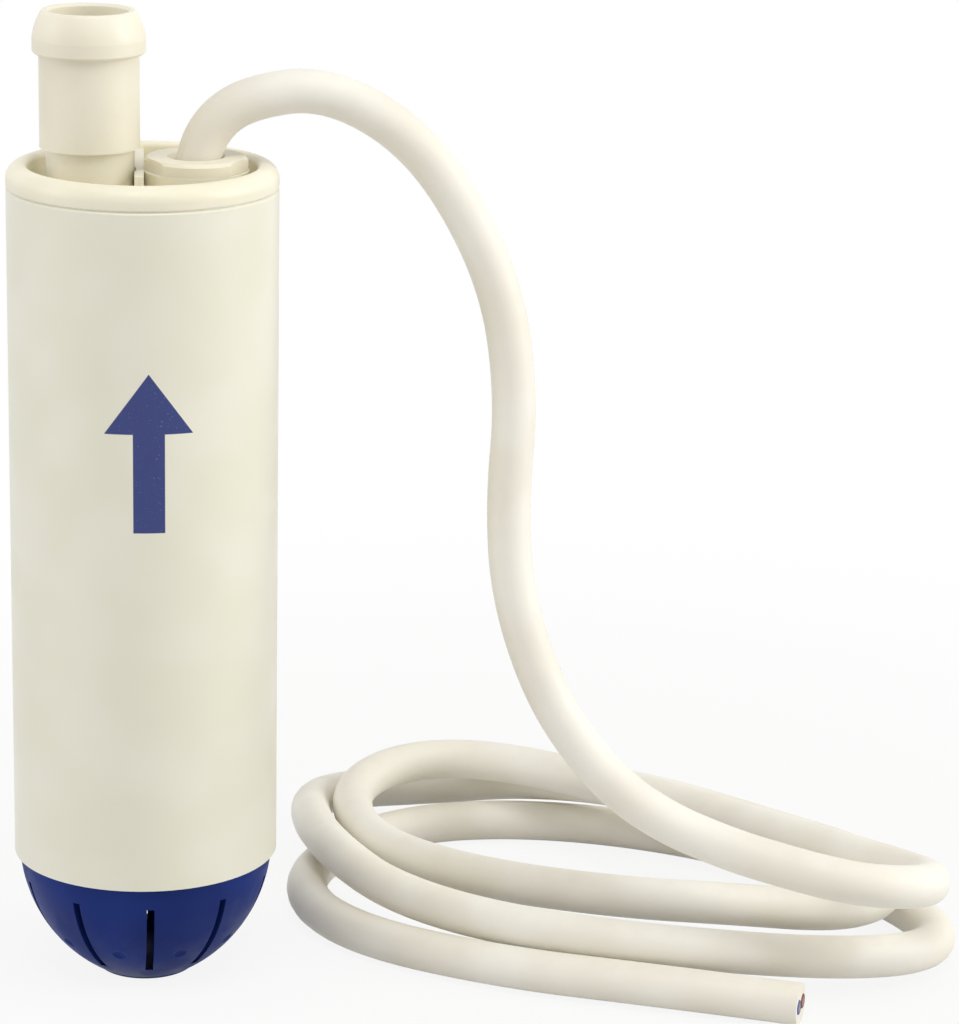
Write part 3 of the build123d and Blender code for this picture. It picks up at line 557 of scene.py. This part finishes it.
FINISHES = (
    PrintedFinish("body_ivory", (235, 233, 218), (231, 229, 211), rough=(0.34, 0.44),
        relief=4e-06, scuff=0.5, coat=0.06),
    # The head and the spigot carry painted bounce light, warmer and lighter, low in the well.
    Finish("head_ivory", (241, 236, 216), (237, 231, 208), rough=(0.38, 0.5), relief=6e-06,
        scuff=0.3, painted_well_light=(255, 247, 218), subsurface=0.25),
    Finish("spigot_ivory", (238, 233, 216), (233, 227, 208), rough=(0.4, 0.52), relief=6e-06,
        scuff=0.4, painted_well_light=(255, 249, 222), subsurface=0.25),
    Finish("strainer_blue", (27, 49, 122), (22, 42, 108), rough=(0.45, 0.58), relief=8e-06,
        scuff=0.5, shine=0.12),
    Finish("sheath_ivory", (242, 239, 229), (236, 231, 218), rough=(0.5, 0.62), grain=0.0007,
        relief=0.00002, scuff=0.4, dust=0.06),
    Finish("core_brown", (112, 66, 40), (96, 54, 32)),
    Finish("core_blue", (60, 96, 168), (50, 82, 150)),
    Finish("seal_black", (34, 34, 35), (24, 24, 25), rough=(0.5, 0.7), relief=0.00002, dust=0.15),
    Finish("pod_grey", (150, 152, 150), (138, 140, 138), rough=(0.42, 0.55)),
    Finish("can_steel", (196, 198, 200), (172, 174, 176), Texture.TURNED, (0.22, 0.4),
        0.0005, 4e-06, 1.0),
    Finish("end_cap_black", (40, 40, 42), (30, 30, 32)),
    Finish("bush_bronze", (176, 132, 84), (150, 108, 66), Texture.TURNED, (0.35, 0.5),
        0.0002, 4e-06, 1.0),
    Finish("magnet_ferrite", (62, 60, 60), (46, 45, 46), Texture.PRESSED, (0.55, 0.8),
        0.0003, 0.00002),
    Finish("shaft_steel", (208, 209, 210), (184, 185, 188), Texture.TURNED, (0.14, 0.28),
        0.0002, 2e-06, 1.0),
    Finish("core_steel", (130, 130, 134), (96, 96, 100), Texture.STACKED, (0.35, 0.5),
        0.0005, 0.00003, 1.0),
    Finish("winding_copper", (190, 98, 52), (158, 72, 36), Texture.MOULDED, (0.22, 0.32),
        0.0006, 4e-06, 1.0, coat=0.5),
    Finish("commutator_copper", (206, 128, 88), (176, 98, 64), Texture.TURNED, (0.25, 0.45),
        0.0003, 4e-06, 1.0),
    Finish("brush_carbon", (44, 43, 44), (30, 30, 31), Texture.PRESSED, (0.5, 0.7),
        0.0002, 0.00001, 0.2),
    Finish("spring_brass", (212, 178, 96), (186, 150, 76), Texture.TURNED, (0.2, 0.35),
        0.0004, 3e-06, 1.0),
    Finish("suppressor_tan", (188, 130, 72), (166, 108, 56), rough=(0.3, 0.45), coat=0.3),
    Finish("wire_red", (168, 36, 32), (148, 28, 26), rough=(0.35, 0.5)),
    Finish("wire_black", (36, 36, 38), (26, 26, 28), rough=(0.35, 0.5)),
    Finish("impeller_white", (228, 226, 216), (216, 213, 202), rough=(0.35, 0.5)),
    Finish("casing_white", (206, 202, 188), (190, 186, 172)),
    Finish("screw_steel", (190, 191, 194), (160, 161, 165), Texture.TURNED, (0.2, 0.38),
        0.0003, 3e-06, 1.0),
    Finish("strand_copper", (206, 126, 84), (176, 96, 60), Texture.TURNED, (0.25, 0.4),
        0.0002, 2e-06, 1.0),
)


class Paintbox:
    """Keeps the materials and dresses pieces with them."""

    def __init__(self) -> None:
        """Builds each finish's material once."""
        effects = EffectShelf()
        self.materials = {finish.name: finish.material(effects) for finish in FINISHES}

    def dress(self, finishes: dict[str, str]) -> None:
        """Gives carried nodes their finishes, and reports them.

        Args:
            finishes: the finish's name by the node's name.
        """
        for node, finish in finishes.items():
            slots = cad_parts[node].data.materials
            slots.clear()
            slots.append(self.materials[finish])
        log.info("dressed %s", ", ".join(finishes))


def new_piece(name: str, data: bpy.types.ID) -> Piece:
    """Puts a mesh, a curve, a lamp or a camera in the scene.

    Args:
        name: its name.
        data: what it shows or does.

    Returns:
        The new object, at the origin.
    """
    piece = bpy.data.objects.new(name, data)
    bpy.context.scene.collection.objects.link(piece)
    return piece


class Growth(Graph):
    """A Geometry Nodes tree that makes pieces."""

    def __init__(self, name: str, sizes: dict[str, float]) -> None:
        """Starts the tree.

        Args:
            name: the tree's name.
            sizes: its number inputs with their values.
        """
        super().__init__(bpy.data.node_groups.new(name, "GeometryNodeTree"))
        self.sizes = sizes
        sockets = self.tree.interface
        inputs = {**dict.fromkeys(sizes, "NodeSocketFloat"), "Material": "NodeSocketMaterial"}
        for label, kind in inputs.items():
            sockets.new_socket(label, in_out="INPUT", socket_type=kind)
        sockets.new_socket("Geometry", in_out="OUTPUT", socket_type="NodeSocketGeometry")
        self.given = self.add("NodeGroupInput").outputs

    def spread(self, points: Socket, instance: Socket, **values: object) -> Socket:
        """Copies something onto points, as geometry of its own.

        Args:
            points: the output that gives the points.
            instance: the output that gives what is copied.
            values: the turn or the size of the copies.

        Returns:
            The output that gives the copies.
        """
        copies = self.make("GeometryNodeInstanceOnPoints", Points=points, Instance=instance,
                           **values)
        real = self.make("GeometryNodeRealizeInstances", Geometry=copies.outputs["Instances"])
        return real.outputs["Geometry"]

    def put_out(self, geometry: Socket) -> None:
        """Ends the tree.

        Args:
            geometry: the output that gives all it has made.
        """
        coloured = self.make("GeometryNodeSetMaterial", Geometry=geometry,
                             Material=self.given["Material"])
        self.make("NodeGroupOutput", Geometry=coloured.outputs["Geometry"])

    def grow(self, name: str, material: bpy.types.Material) -> Piece:
        """Makes a piece and keeps it as a plain mesh.

        Args:
            name: the piece's name.
            material: its material.

        Returns:
            The plain mesh piece.
        """
        holder = new_piece(f"{name}_holder", bpy.data.meshes.new(f"{name}_holder"))
        modifier = holder.modifiers.new(name, "NODES")
        modifier.node_group = self.tree
        values = {**self.sizes, "Material": material}
        for item in self.tree.interface.items_tree:
            if item.in_out == "INPUT":
                modifier[item.identifier] = values[item.name]
        graph = bpy.context.evaluated_depsgraph_get()
        mesh = bpy.data.meshes.new_from_object(
            holder.evaluated_get(graph), preserve_all_data_layers=True, depsgraph=graph
        )
        bpy.data.objects.remove(holder)
        return new_piece(name, mesh)


@dataclass(frozen=True)
class Lamp:
    """A soft box.

    Attributes:
        name: its name.
        stand: where it stands.
        size: its width and height.
        power: its power in watts.
        tint: its colour as it is seen.
    """

    name: str
    stand: Point
    size: tuple[float, float]
    power: float
    tint: Colour

    def place(self, target: Point) -> None:
        """Puts the lamp in the scene.

        Args:
            target: where it points.
        """
        data = bpy.data.lights.new(self.name, "AREA")
        data.shape = "RECTANGLE"
        data.size, data.size_y = self.size
        data.energy = self.power
        data.color = linear(self.tint)[:3]
        lamp = new_piece(self.name, data)
        lamp.location = self.stand
        ahead = Vector(target) - Vector(self.stand)
        lamp.rotation_euler = ahead.to_track_quat("-Z", "Y").to_euler()


LAMPS = (
    Lamp("key_lamp", (0.93, -0.16, 0.42), (0.45, 0.6), 4.6, (255, 254, 251)),
    Lamp("fill_lamp", (-0.9, -0.14, 0.36), (0.45, 0.6), 2.2, (252, 252, 255)),
    Lamp("top_lamp", (0.02, -0.4, 0.94), (0.5, 0.4), 3.0, (255, 254, 251)),
)


@dataclass
class Studio:
    """The camera, the lamps, the floor and the surroundings.

    Attributes:
        focal: focal length in pixels of the photograph.
        picture: the photograph's longer side in pixels.
        sensor: width of the camera's sensor in millimetres.
        stand: where the camera stands.
        yaw: how far it looks to the right, in degrees.
        pitch: how far it looks down.
        roll: how far it leans.
        floor_size: side of the square floor.
        shadow_middle: where the pump's shadow is centred.
        shadow_reach: where the shadow starts to fade and where it has gone.
        glow_share: how much of the floor glows at the shadow's middle.
        floor_colour: the floor's own colour.
        lamp_target: where the lamps point.
        room_colour: colour of the light from all round.
        room_light: strength of that light.
    """

    focal: float = 3814.0
    picture: int = 1024
    sensor: float = 36.0
    stand: Point = (0.0, -0.5246, 0.218)
    yaw: float = 5.22
    pitch: float = 15.85
    roll: float = 1.15
    floor_size: float = 3.0
    shadow_middle: Point = (0.05, 0.01, 0.0)
    shadow_reach: tuple[float, float] = (0.08, 0.24)
    glow_share: float = 0.88
    floor_colour: Shade = (0.7, 0.69, 0.68, 1.0)
    lamp_target: Point = (0.03, 0.0, 0.06)
    room_colour: Shade = (1.0, 0.995, 0.985, 1.0)
    room_light: float = 0.54

    def camera(self) -> None:
        """Makes the scene's camera."""
        data = bpy.data.cameras.new("portrait_camera")
        data.sensor_fit = "AUTO"
        data.sensor_width = self.sensor
        data.lens = self.focal / self.picture * self.sensor
        data.clip_start = 0.01
        data.clip_end = 20.0
        camera = new_piece("portrait_camera", data)
        yaw, pitch, roll = (math.radians(angle) for angle in (self.yaw, self.pitch, self.roll))
        north = Vector((math.sin(yaw), math.cos(yaw), 0))
        ahead = north * math.cos(pitch) - Vector((0, 0, math.sin(pitch)))
        level = Vector((math.cos(yaw), -math.sin(yaw), 0))
        upright = level.cross(ahead)
        right = math.cos(roll) * level + math.sin(roll) * upright
        up = math.cos(roll) * upright - math.sin(roll) * level
        turn = Matrix((right, up, -ahead)).transposed().to_4x4()
        camera.matrix_world = Matrix.Translation(self.stand) @ turn
        bpy.context.scene.camera = camera

    def seen(self, graph: Graph) -> Socket:
        """Adds what tells the rays that show a backdrop from those that light the pump.

        Args:
            graph: the graph of the world or of a material.

        Returns:
            The output that is 1 for a ray of the camera, a mirror or a glass.
        """
        path = graph.add("ShaderNodeLightPath").outputs
        mirrored = graph.math("MAXIMUM", path["Is Glossy Ray"], path["Is Transmission Ray"])
        return graph.math("MAXIMUM", path["Is Camera Ray"], mirrored)

    def surroundings(self) -> None:
        """Makes the world: white where the camera sees it, a plain pale light elsewhere."""
        world = bpy.data.worlds.new("pale_room")
        world.use_nodes = True
        graph = Graph(world.node_tree)
        seen = self.seen(graph)
        light = graph.make("ShaderNodeBackground", Color=self.room_colour,
                           Strength=self.room_light)
        white = graph.make("ShaderNodeBackground", Color=WHITE, Strength=1.0)
        mix = graph.make("ShaderNodeMixShader", Fac=seen, i1=light.outputs[0],
                         i2=white.outputs[0])
        graph.make("ShaderNodeOutputWorld", Surface=mix.outputs[0])
        bpy.context.scene.world = world

    def floor(self) -> None:
        """Makes the pale floor, white to the camera but for the pump's soft shadow."""
        half = self.floor_size / 2
        mesh = bpy.data.meshes.new("studio_floor")
        corners = [(-half, -half, 0), (half, -half, 0), (half, half, 0), (-half, half, 0)]
        mesh.from_pydata(corners, [], [(0, 1, 2, 3)])
        floor = new_piece("studio_floor", mesh)
        material = bpy.data.materials.new("pale_floor")
        material.use_nodes = True
        graph = Graph(material.node_tree)
        place = graph.add("ShaderNodeTexCoord").outputs["Object"]
        away = graph.add("ShaderNodeVectorMath", operation="DISTANCE")
        graph.put(away, i0=place, i1=self.shadow_middle)
        glowing = graph.ramp(away.outputs["Value"], *self.shadow_reach, self.glow_share, 1.0)
        matt = graph.make("ShaderNodeBsdfPrincipled", Base_Color=self.floor_colour,
                          Roughness=0.9, Specular_IOR_Level=0.0)
        glow = graph.make("ShaderNodeEmission", Color=WHITE, Strength=1.0)
        share = graph.math("MULTIPLY", self.seen(graph), glowing)
        mix = graph.make("ShaderNodeMixShader", Fac=share, i1=matt.outputs[0],
                         i2=glow.outputs[0])
        graph.make("ShaderNodeOutputMaterial", Surface=mix.outputs[0])
        mesh.materials.append(material)

    def build(self) -> None:
        """Makes the whole studio."""
        bpy.context.scene.view_settings.view_transform = "Standard"
        self.camera()
        self.surroundings()
        for lamp in LAMPS:
            lamp.place(self.lamp_target)
        self.floor()
        log.info("studio is set")


LEAD_ROUTE: tuple[Point, ...] = (
    (0.0074, 0.0, 0.1152), (0.0074, 0.0, 0.12), (0.0101, 0.0, 0.1253),
    (0.015, -0.0002, 0.1284), (0.0245, -0.0005, 0.1299), (0.0348, -0.0012, 0.1252),
    (0.043, -0.0022, 0.1164), (0.0502, -0.004, 0.102), (0.0523, -0.0061, 0.0866),
    (0.0511, -0.0082, 0.0726), (0.0518, -0.0104, 0.0596), (0.0561, -0.0126, 0.0463),
    (0.0619, -0.0146, 0.0372), (0.068, -0.0166, 0.0311), (0.0743, -0.0186, 0.0274),
    (0.08065, -0.0207, 0.02515), (0.0865, -0.02344, 0.02378),
)

COIL_ROUTE: tuple[Point, ...] = (
    (0.0985, -0.0292, 0.0221), (0.1077, -0.0267, 0.0203), (0.1129, -0.0194, 0.0181),
    (0.1121, -0.01, 0.0159), (0.1025, 0.0008, 0.0155), (0.086, 0.0196, 0.0147),
    (0.0661, 0.0405, 0.014), (0.0507, 0.0524, 0.0127), (0.0388, 0.051, 0.0119),
    (0.0321, 0.0425, 0.0107), (0.0325, 0.03, 0.0093), (0.0385, 0.0174, 0.0093),
    (0.0513, 0.0061, 0.0095), (0.0698, -0.003, 0.0101), (0.0864, -0.0082, 0.0108),
    (0.0999, -0.0086, 0.0097), (0.1082, -0.003, 0.0088), (0.1112, 0.0052, 0.0092),
    (0.1088, 0.0137, 0.0096), (0.0969, 0.0245, 0.0101), (0.078, 0.0394, 0.0115),
    (0.0618, 0.053, 0.0087), (0.0458, 0.0594, 0.0053), (0.0325, 0.0564, 0.0059),
    (0.02595, 0.0449, 0.0084), (0.02555, 0.0298, 0.01), (0.0294, 0.0156, 0.01),
    (0.0367, 0.0038, 0.0086), (0.051, -0.0065, 0.0076), (0.0714, -0.0145, 0.0073),
    (0.0975, -0.0181, 0.0061), (0.1142, -0.0127, 0.0045), (0.1185, 0.001, 0.0032),
    (0.1076, 0.0222, 0.00315), (0.0853, 0.0409, 0.00315), (0.0615, 0.0494, 0.00315),
    (0.0416, 0.0474, 0.00315), (0.0275, 0.0341, 0.00315), (0.023, 0.0166, 0.0033),
    (0.0311, 0.0007, 0.00315), (0.051, -0.0121, 0.0032), (0.0723, -0.02, 0.0033),
    (0.0869, -0.0251, 0.00315), (0.09273, -0.02742, 0.00315),
)


@dataclass
class Cable:
    """The two-core cable: its sheath on one smooth line, and its cut end.

    Attributes:
        diameter: across the sheath.
        exit: where the sheath leaves the gland cap; not used.
        length: from the gland to the cut end; not used.
        core_radius: of one insulated core.
        core_spacing: between the two cores' middles.
        strand_radius: of one copper strand.
        bundle_radius: of all the strands of a core.
        strand_rings: strands in each ring, and its radius as a share of the bundle's.
        strand_sides: sides of one strand.
        strand_sizes: smallest and largest share of its size that a strand has.
        proud: how far a core stands out of the cut.
        core_depth: how far a core goes into the sheath.
        bevel_share: size of the bevel at a core's end, as a share of its radius.
        recess: radius and height of the floor round the strands, as shares of
            bundle_radius and proud.
        seed: what picks the strands' sizes.
        sheath: the sheath, once it is laid.
    """

    diameter: float = 0.0062
    exit: Point = (0.0074, 0.0, 0.1152)
    length: float = 0.8914
    core_radius: float = 0.0011
    core_spacing: float = 0.0025
    strand_radius: float = 0.00017
    bundle_radius: float = 0.00062
    strand_rings: tuple[tuple[int, float], ...] = ((6, 0.42), (12, 0.82))
    strand_sides: int = 10
    strand_sizes: tuple[float, float] = (0.86, 1.0)
    proud: float = 0.00015
    core_depth: float = 0.0025
    bevel_share: float = 0.12
    recess: tuple[float, float] = (0.97, 0.3)
    seed: int = 4
    sheath: Piece | None = None

    def lay_sheath(self, paints: Paintbox) -> Piece:
        """Lays the sheath along the route.

        Args:
            paints: the paintbox.

        Returns:
            The sheath.
        """
        curve = bpy.data.curves.new("cable_sheath", "CURVE")
        curve.dimensions = "3D"
        curve.resolution_u = 10
        curve.bevel_depth = self.diameter / 2
        curve.bevel_resolution = 8
        curve.use_fill_caps = True
        route = LEAD_ROUTE + COIL_ROUTE
        spline = curve.splines.new("NURBS")
        spline.points.add(len(route) - 1)
        for point, place in zip(spline.points, route):
            point.co = (*place, 1.0)
        spline.order_u = 3
        spline.use_endpoint_u = True
        curve.materials.append(paints.materials["sheath_ivory"])
        return new_piece("cable_sheath", curve)

    def cut_face(self) -> tuple[Vector, Vector, Vector]:
        """Finds the cut end.

        Returns:
            The middle of the cut, the way out of it and the way across both cores.
        """
        last, before = (Vector(COIL_ROUTE[place]) for place in (-1, -2))
        way = (last - before).normalized()
        return last, way, way.cross(Vector((0, 0, 1))).normalized()

    def lathe(self, outline: list[tuple[float, float]], middle: Vector, way: Vector,
              count: int = 28) -> bmesh.types.BMesh:
        """Turns an outline round a way.

        Args:
            outline: radius and height of each ring, the first and last at radius 0.
            middle: where the height is 0.
            way: the axis.
            count: points round each ring.

        Returns:
            The turned body, with its normals outwards.
        """
        body = bmesh.new()
        turn = way.to_track_quat("Z", "Y").to_matrix()
        angles = [FULL_TURN * place / count for place in range(count)]
        rings = []
        for radius, height in outline:
            if radius == 0:
                rings.append([body.verts.new(middle + way * height)])
                continue
            ring = [Vector((radius * math.cos(angle), radius * math.sin(angle), height))
                    for angle in angles]
            rings.append([body.verts.new(middle + turn @ place) for place in ring])
        for lower, upper in zip(rings, rings[1:]):
            for place in range(count):
                after = (place + 1) % count
                if len(lower) == 1:
                    body.faces.new((lower[0], upper[after], upper[place]))
                elif len(upper) == 1:
                    body.faces.new((lower[place], lower[after], upper[0]))
                else:
                    body.faces.new((lower[place], lower[after], upper[after], upper[place]))
        bmesh.ops.recalc_face_normals(body, faces=body.faces)
        for face in body.faces:
            face.smooth = True
        return body

    def strand_tree(self) -> Growth:
        """Makes the node tree of a core's bundle of copper strands.

        Returns:
            The tree, which makes the bundle round the Z axis.
        """
        graph = Growth("strand_bundle", {
            "Strand Radius": self.strand_radius,
            "Bundle Radius": self.bundle_radius,
            "Reach": self.proud,
        })
        centre = graph.make("GeometryNodeMeshLine", Count=1)
        joined = graph.add("GeometryNodeJoinGeometry")
        graph.put(joined, Geometry=centre.outputs["Mesh"])
        for count, share in self.strand_rings:
            circle = graph.add("GeometryNodeMeshCircle", fill_type="NONE")
            radius = graph.math("MULTIPLY", graph.given["Bundle Radius"], share)
            graph.put(circle, Vertices=count, Radius=radius)
            graph.put(joined, Geometry=circle.outputs["Mesh"])
        reach = graph.math("MULTIPLY", graph.given["Reach"], 2.0)
        strand = graph.make("GeometryNodeMeshCylinder", Vertices=self.strand_sides,
                            Radius=graph.given["Strand Radius"], Depth=reach)
        smallest, largest = self.strand_sizes
        jitter = graph.add("FunctionNodeRandomValue", data_type="FLOAT")
        graph.put(jitter, i2=smallest, i3=largest, Seed=self.seed)
        graph.put_out(graph.spread(joined.outputs["Geometry"], strand.outputs["Mesh"],
                                   Scale=jitter.outputs[1]))
        return graph

    def dress_cut(self, paints: Paintbox) -> list[Piece]:
        """Makes what shows in the cut end.

        Args:
            paints: the paintbox.

        Returns:
            The pieces: two insulated cores and their strands.
        """
        middle, way, across = self.cut_face()
        tree = self.strand_tree()
        turn = way.to_track_quat("Z", "Y").to_matrix().to_4x4()
        edge = self.core_radius * self.bevel_share
        recess = self.bundle_radius * self.recess[0]
        floor = self.proud * self.recess[1]
        outline = [
            (0.0, -self.core_depth),
            (self.core_radius, -self.core_depth),
            (self.core_radius, self.proud - edge),
            (self.core_radius - edge, self.proud),
            (self.bundle_radius, self.proud),
            (recess, floor),
            (0.0, floor),
        ]
        pieces = []
        for side, finish in ((-1, "core_brown"), (1, "core_blue")):
            centre = middle + across * side * self.core_spacing / 2
            body = self.lathe(outline, centre, way)
            mesh = bpy.data.meshes.new(f"cable_{finish}")
            body.to_mesh(mesh)
            body.free()
            mesh.materials.append(paints.materials[finish])
            pieces.append(new_piece(f"cable_{finish}", mesh))
            name = finish.replace("core", "cable_strands")
            bundle = tree.grow(name, paints.materials["strand_copper"])
            bundle.data.transform(Matrix.Translation(centre) @ turn)
            pieces.append(bundle)
        return pieces

    def build(self, paints: Paintbox) -> None:
        """Makes the whole cable.

        Args:
            paints: the paintbox.
        """
        self.sheath = self.lay_sheath(paints)
        cut = self.dress_cut(paints)
        for piece in [self.sheath, *cut]:
            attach(piece, "housing")
        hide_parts("cable_lead", "cable_coil")
        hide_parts("cable_cores")
        paints.dress({"cable_entry": "sheath_ivory"})
        log.info("cable is laid")


class Assembly:
    """A group of carried pieces that only need their finishes.

    Attributes:
        finishes: the finish's name by the node's name.
    """

    finishes: dict[str, str] = {}

    def build(self, paints: Paintbox) -> None:
        """Dresses the pieces.

        Args:
            paints: the paintbox.
        """
        paints.dress(self.finishes)


class Shell(Assembly):
    """The outside of the pump: the tube, the head, the outlet and the gland."""

    finishes = {
        "outer_tube": "body_ivory",
        "head": "head_ivory",
        "outlet_spigot": "spigot_ivory",
        "gland_cap": "spigot_ivory",
        "gland_washer": "pod_grey",
        "gland_grommet": "seal_black",
        "head_seal": "seal_black",
        "spigot_seal": "seal_black",
        "strainer": "strainer_blue",
    }


@dataclass
class Winding:
    """The motor's wound coils, one round each pole, laid by Geometry Nodes.

    Attributes:
        poles: how many poles the rotor has.
        wire: the enamelled wire's diameter.
        inner: radius at which the first turns lie, against the yoke.
        outer: radius at which the last turns lie, under the pole tips.
        low: lower end of the coils.
        high: upper end of the coils.
        width: widest that a coil gets.
        gap: half of the gap between two coils.
        layers: how many layers of wire lie over each other.
        corner: radius of a turn's corner, in wire diameters.
        corner_points: points on that corner.
        sides: sides of the wire's section.
    """

    poles: int = 5
    wire: float = 0.00055
    inner: float = 0.0039
    outer: float = 0.00855
    low: float = 0.0434
    high: float = 0.0686
    width: float = 0.007
    gap: float = 0.0002
    layers: int = 4
    corner: float = 2.5
    corner_points: int = 4
    sides: int = 8

    def layer(self, graph: Growth, number: int) -> Socket:
        """Adds one layer of turns round a pole that points along X.

        Args:
            graph: the node tree's graph.
            number: 0 for the outermost layer.

        Returns:
            The output of the layer's wire, as a mesh.
        """
        turns = int((self.outer - self.inner) / self.wire)
        pitch = (self.outer - self.inner) / turns
        inset = self.wire * (number + 0.5)
        rows = graph.add("GeometryNodeMeshLine", mode="OFFSET")
        first = (self.inner + pitch / 2, 0, (self.low + self.high) / 2)
        graph.put(rows, Count=turns, Start_Location=first, Offset=(pitch, 0, 0))
        height = self.high - self.low - 2 * inset
        loop = graph.add("GeometryNodeCurvePrimitiveQuadrilateral", mode="RECTANGLE")
        graph.put(loop, Width=self.width, Height=height)
        rounded = graph.add("GeometryNodeFilletCurve", mode="POLY")
        graph.put(rounded, Curve=loop.outputs["Curve"], Count=self.corner_points,
                  Radius=self.corner * self.wire)
        upright = graph.make("GeometryNodeTransform", Geometry=rounded.outputs["Curve"],
                             Rotation=(math.pi / 2, 0, math.pi / 2))
        out = graph.split(graph.add("GeometryNodeInputPosition").outputs["Position"])[0]
        slice_half = graph.math("MULTIPLY", out, math.tan(math.pi / self.poles))
        room = graph.math("SUBTRACT", slice_half, self.gap + inset)
        half = graph.math("MINIMUM", room, self.width / 2 - inset)
        squeeze = graph.math("DIVIDE", half, self.width / 2)
        stretch = graph.make("ShaderNodeCombineXYZ", X=1.0, Y=squeeze, Z=1.0)
        loops = graph.spread(rows.outputs["Mesh"], upright.outputs["Geometry"],
                             Scale=stretch.outputs["Vector"])
        section = graph.add("GeometryNodeCurvePrimitiveCircle", mode="RADIUS")
        graph.put(section, Resolution=self.sides, Radius=self.wire / 2)
        wire = graph.make("GeometryNodeCurveToMesh", Curve=loops,
                          Profile_Curve=section.outputs["Curve"])
        return wire.outputs["Mesh"]

    def build(self, paints: Paintbox) -> None:
        """Winds every pole and hangs the coils on the rotor.

        Args:
            paints: the paintbox.
        """
        graph = Growth("motor_winding", {})
        joined = graph.add("GeometryNodeJoinGeometry")
        for number in range(self.layers):
            graph.put(joined, Geometry=self.layer(graph, number))
        hub = graph.add("GeometryNodeMeshLine", mode="OFFSET")
        graph.put(hub, Count=self.poles, Offset=(0, 0, 0))
        index = graph.add("GeometryNodeInputIndex").outputs["Index"]
        angle = graph.math("MULTIPLY", index, FULL_TURN / self.poles)
        turn = graph.make("ShaderNodeCombineXYZ", Z=angle)
        copies = graph.spread(hub.outputs["Mesh"], joined.outputs["Geometry"],
                              Rotation=turn.outputs["Vector"])
        smooth = graph.make("GeometryNodeSetShadeSmooth", Geometry=copies)
        graph.put_out(smooth.outputs["Geometry"])
        coils = graph.grow("motor_windings", paints.materials["winding_copper"])
        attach(coils, "rotor")
        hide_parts("rotor_windings")
        log.info("motor is wound")


class Motor(Assembly):
    """The dry motor in its pod."""

    finishes = {
        "motor_pod": "pod_grey",
        "pod_base": "pod_grey",
        "pod_neck_seal": "seal_black",
        "pod_base_seal": "seal_black",
        "shaft_seal": "seal_black",
        "seal_retainer": "screw_steel",
        "motor_can": "can_steel",
        "motor_end_cap": "end_cap_black",
        "front_bush": "bush_bronze",
        "rear_bush": "bush_bronze",
        "magnets": "magnet_ferrite",
        "magnet_clips": "shaft_steel",
        "motor_shaft": "shaft_steel",
        "rotor_core": "core_steel",
        "commutator": "commutator_copper",
        "brushes": "brush_carbon",
        "brush_arms": "spring_brass",
        "terminals": "spring_brass",
        "suppressor": "suppressor_tan",
        "wire_red": "wire_red",
        "wire_black": "wire_black",
    }


class PumpEnd(Assembly):
    """The wet end: impeller, casing and their screws."""

    finishes = {
        "pump_casing": "casing_white",
        "casing_screws": "screw_steel",
        "impeller": "impeller_white",
        "impeller_clip": "screw_steel",
    }


def main() -> None:
    """Builds the studio and the pump, one sub-assembly after the other."""
    logging.basicConfig(level=logging.INFO, format="%(name)s: %(message)s")
    Studio().build()
    paints = Paintbox()
    for part in (Cable(), Shell(), Motor(), Winding(), PumpEnd()):
        part.build(paints)


if __name__ == "__main__":
    main()
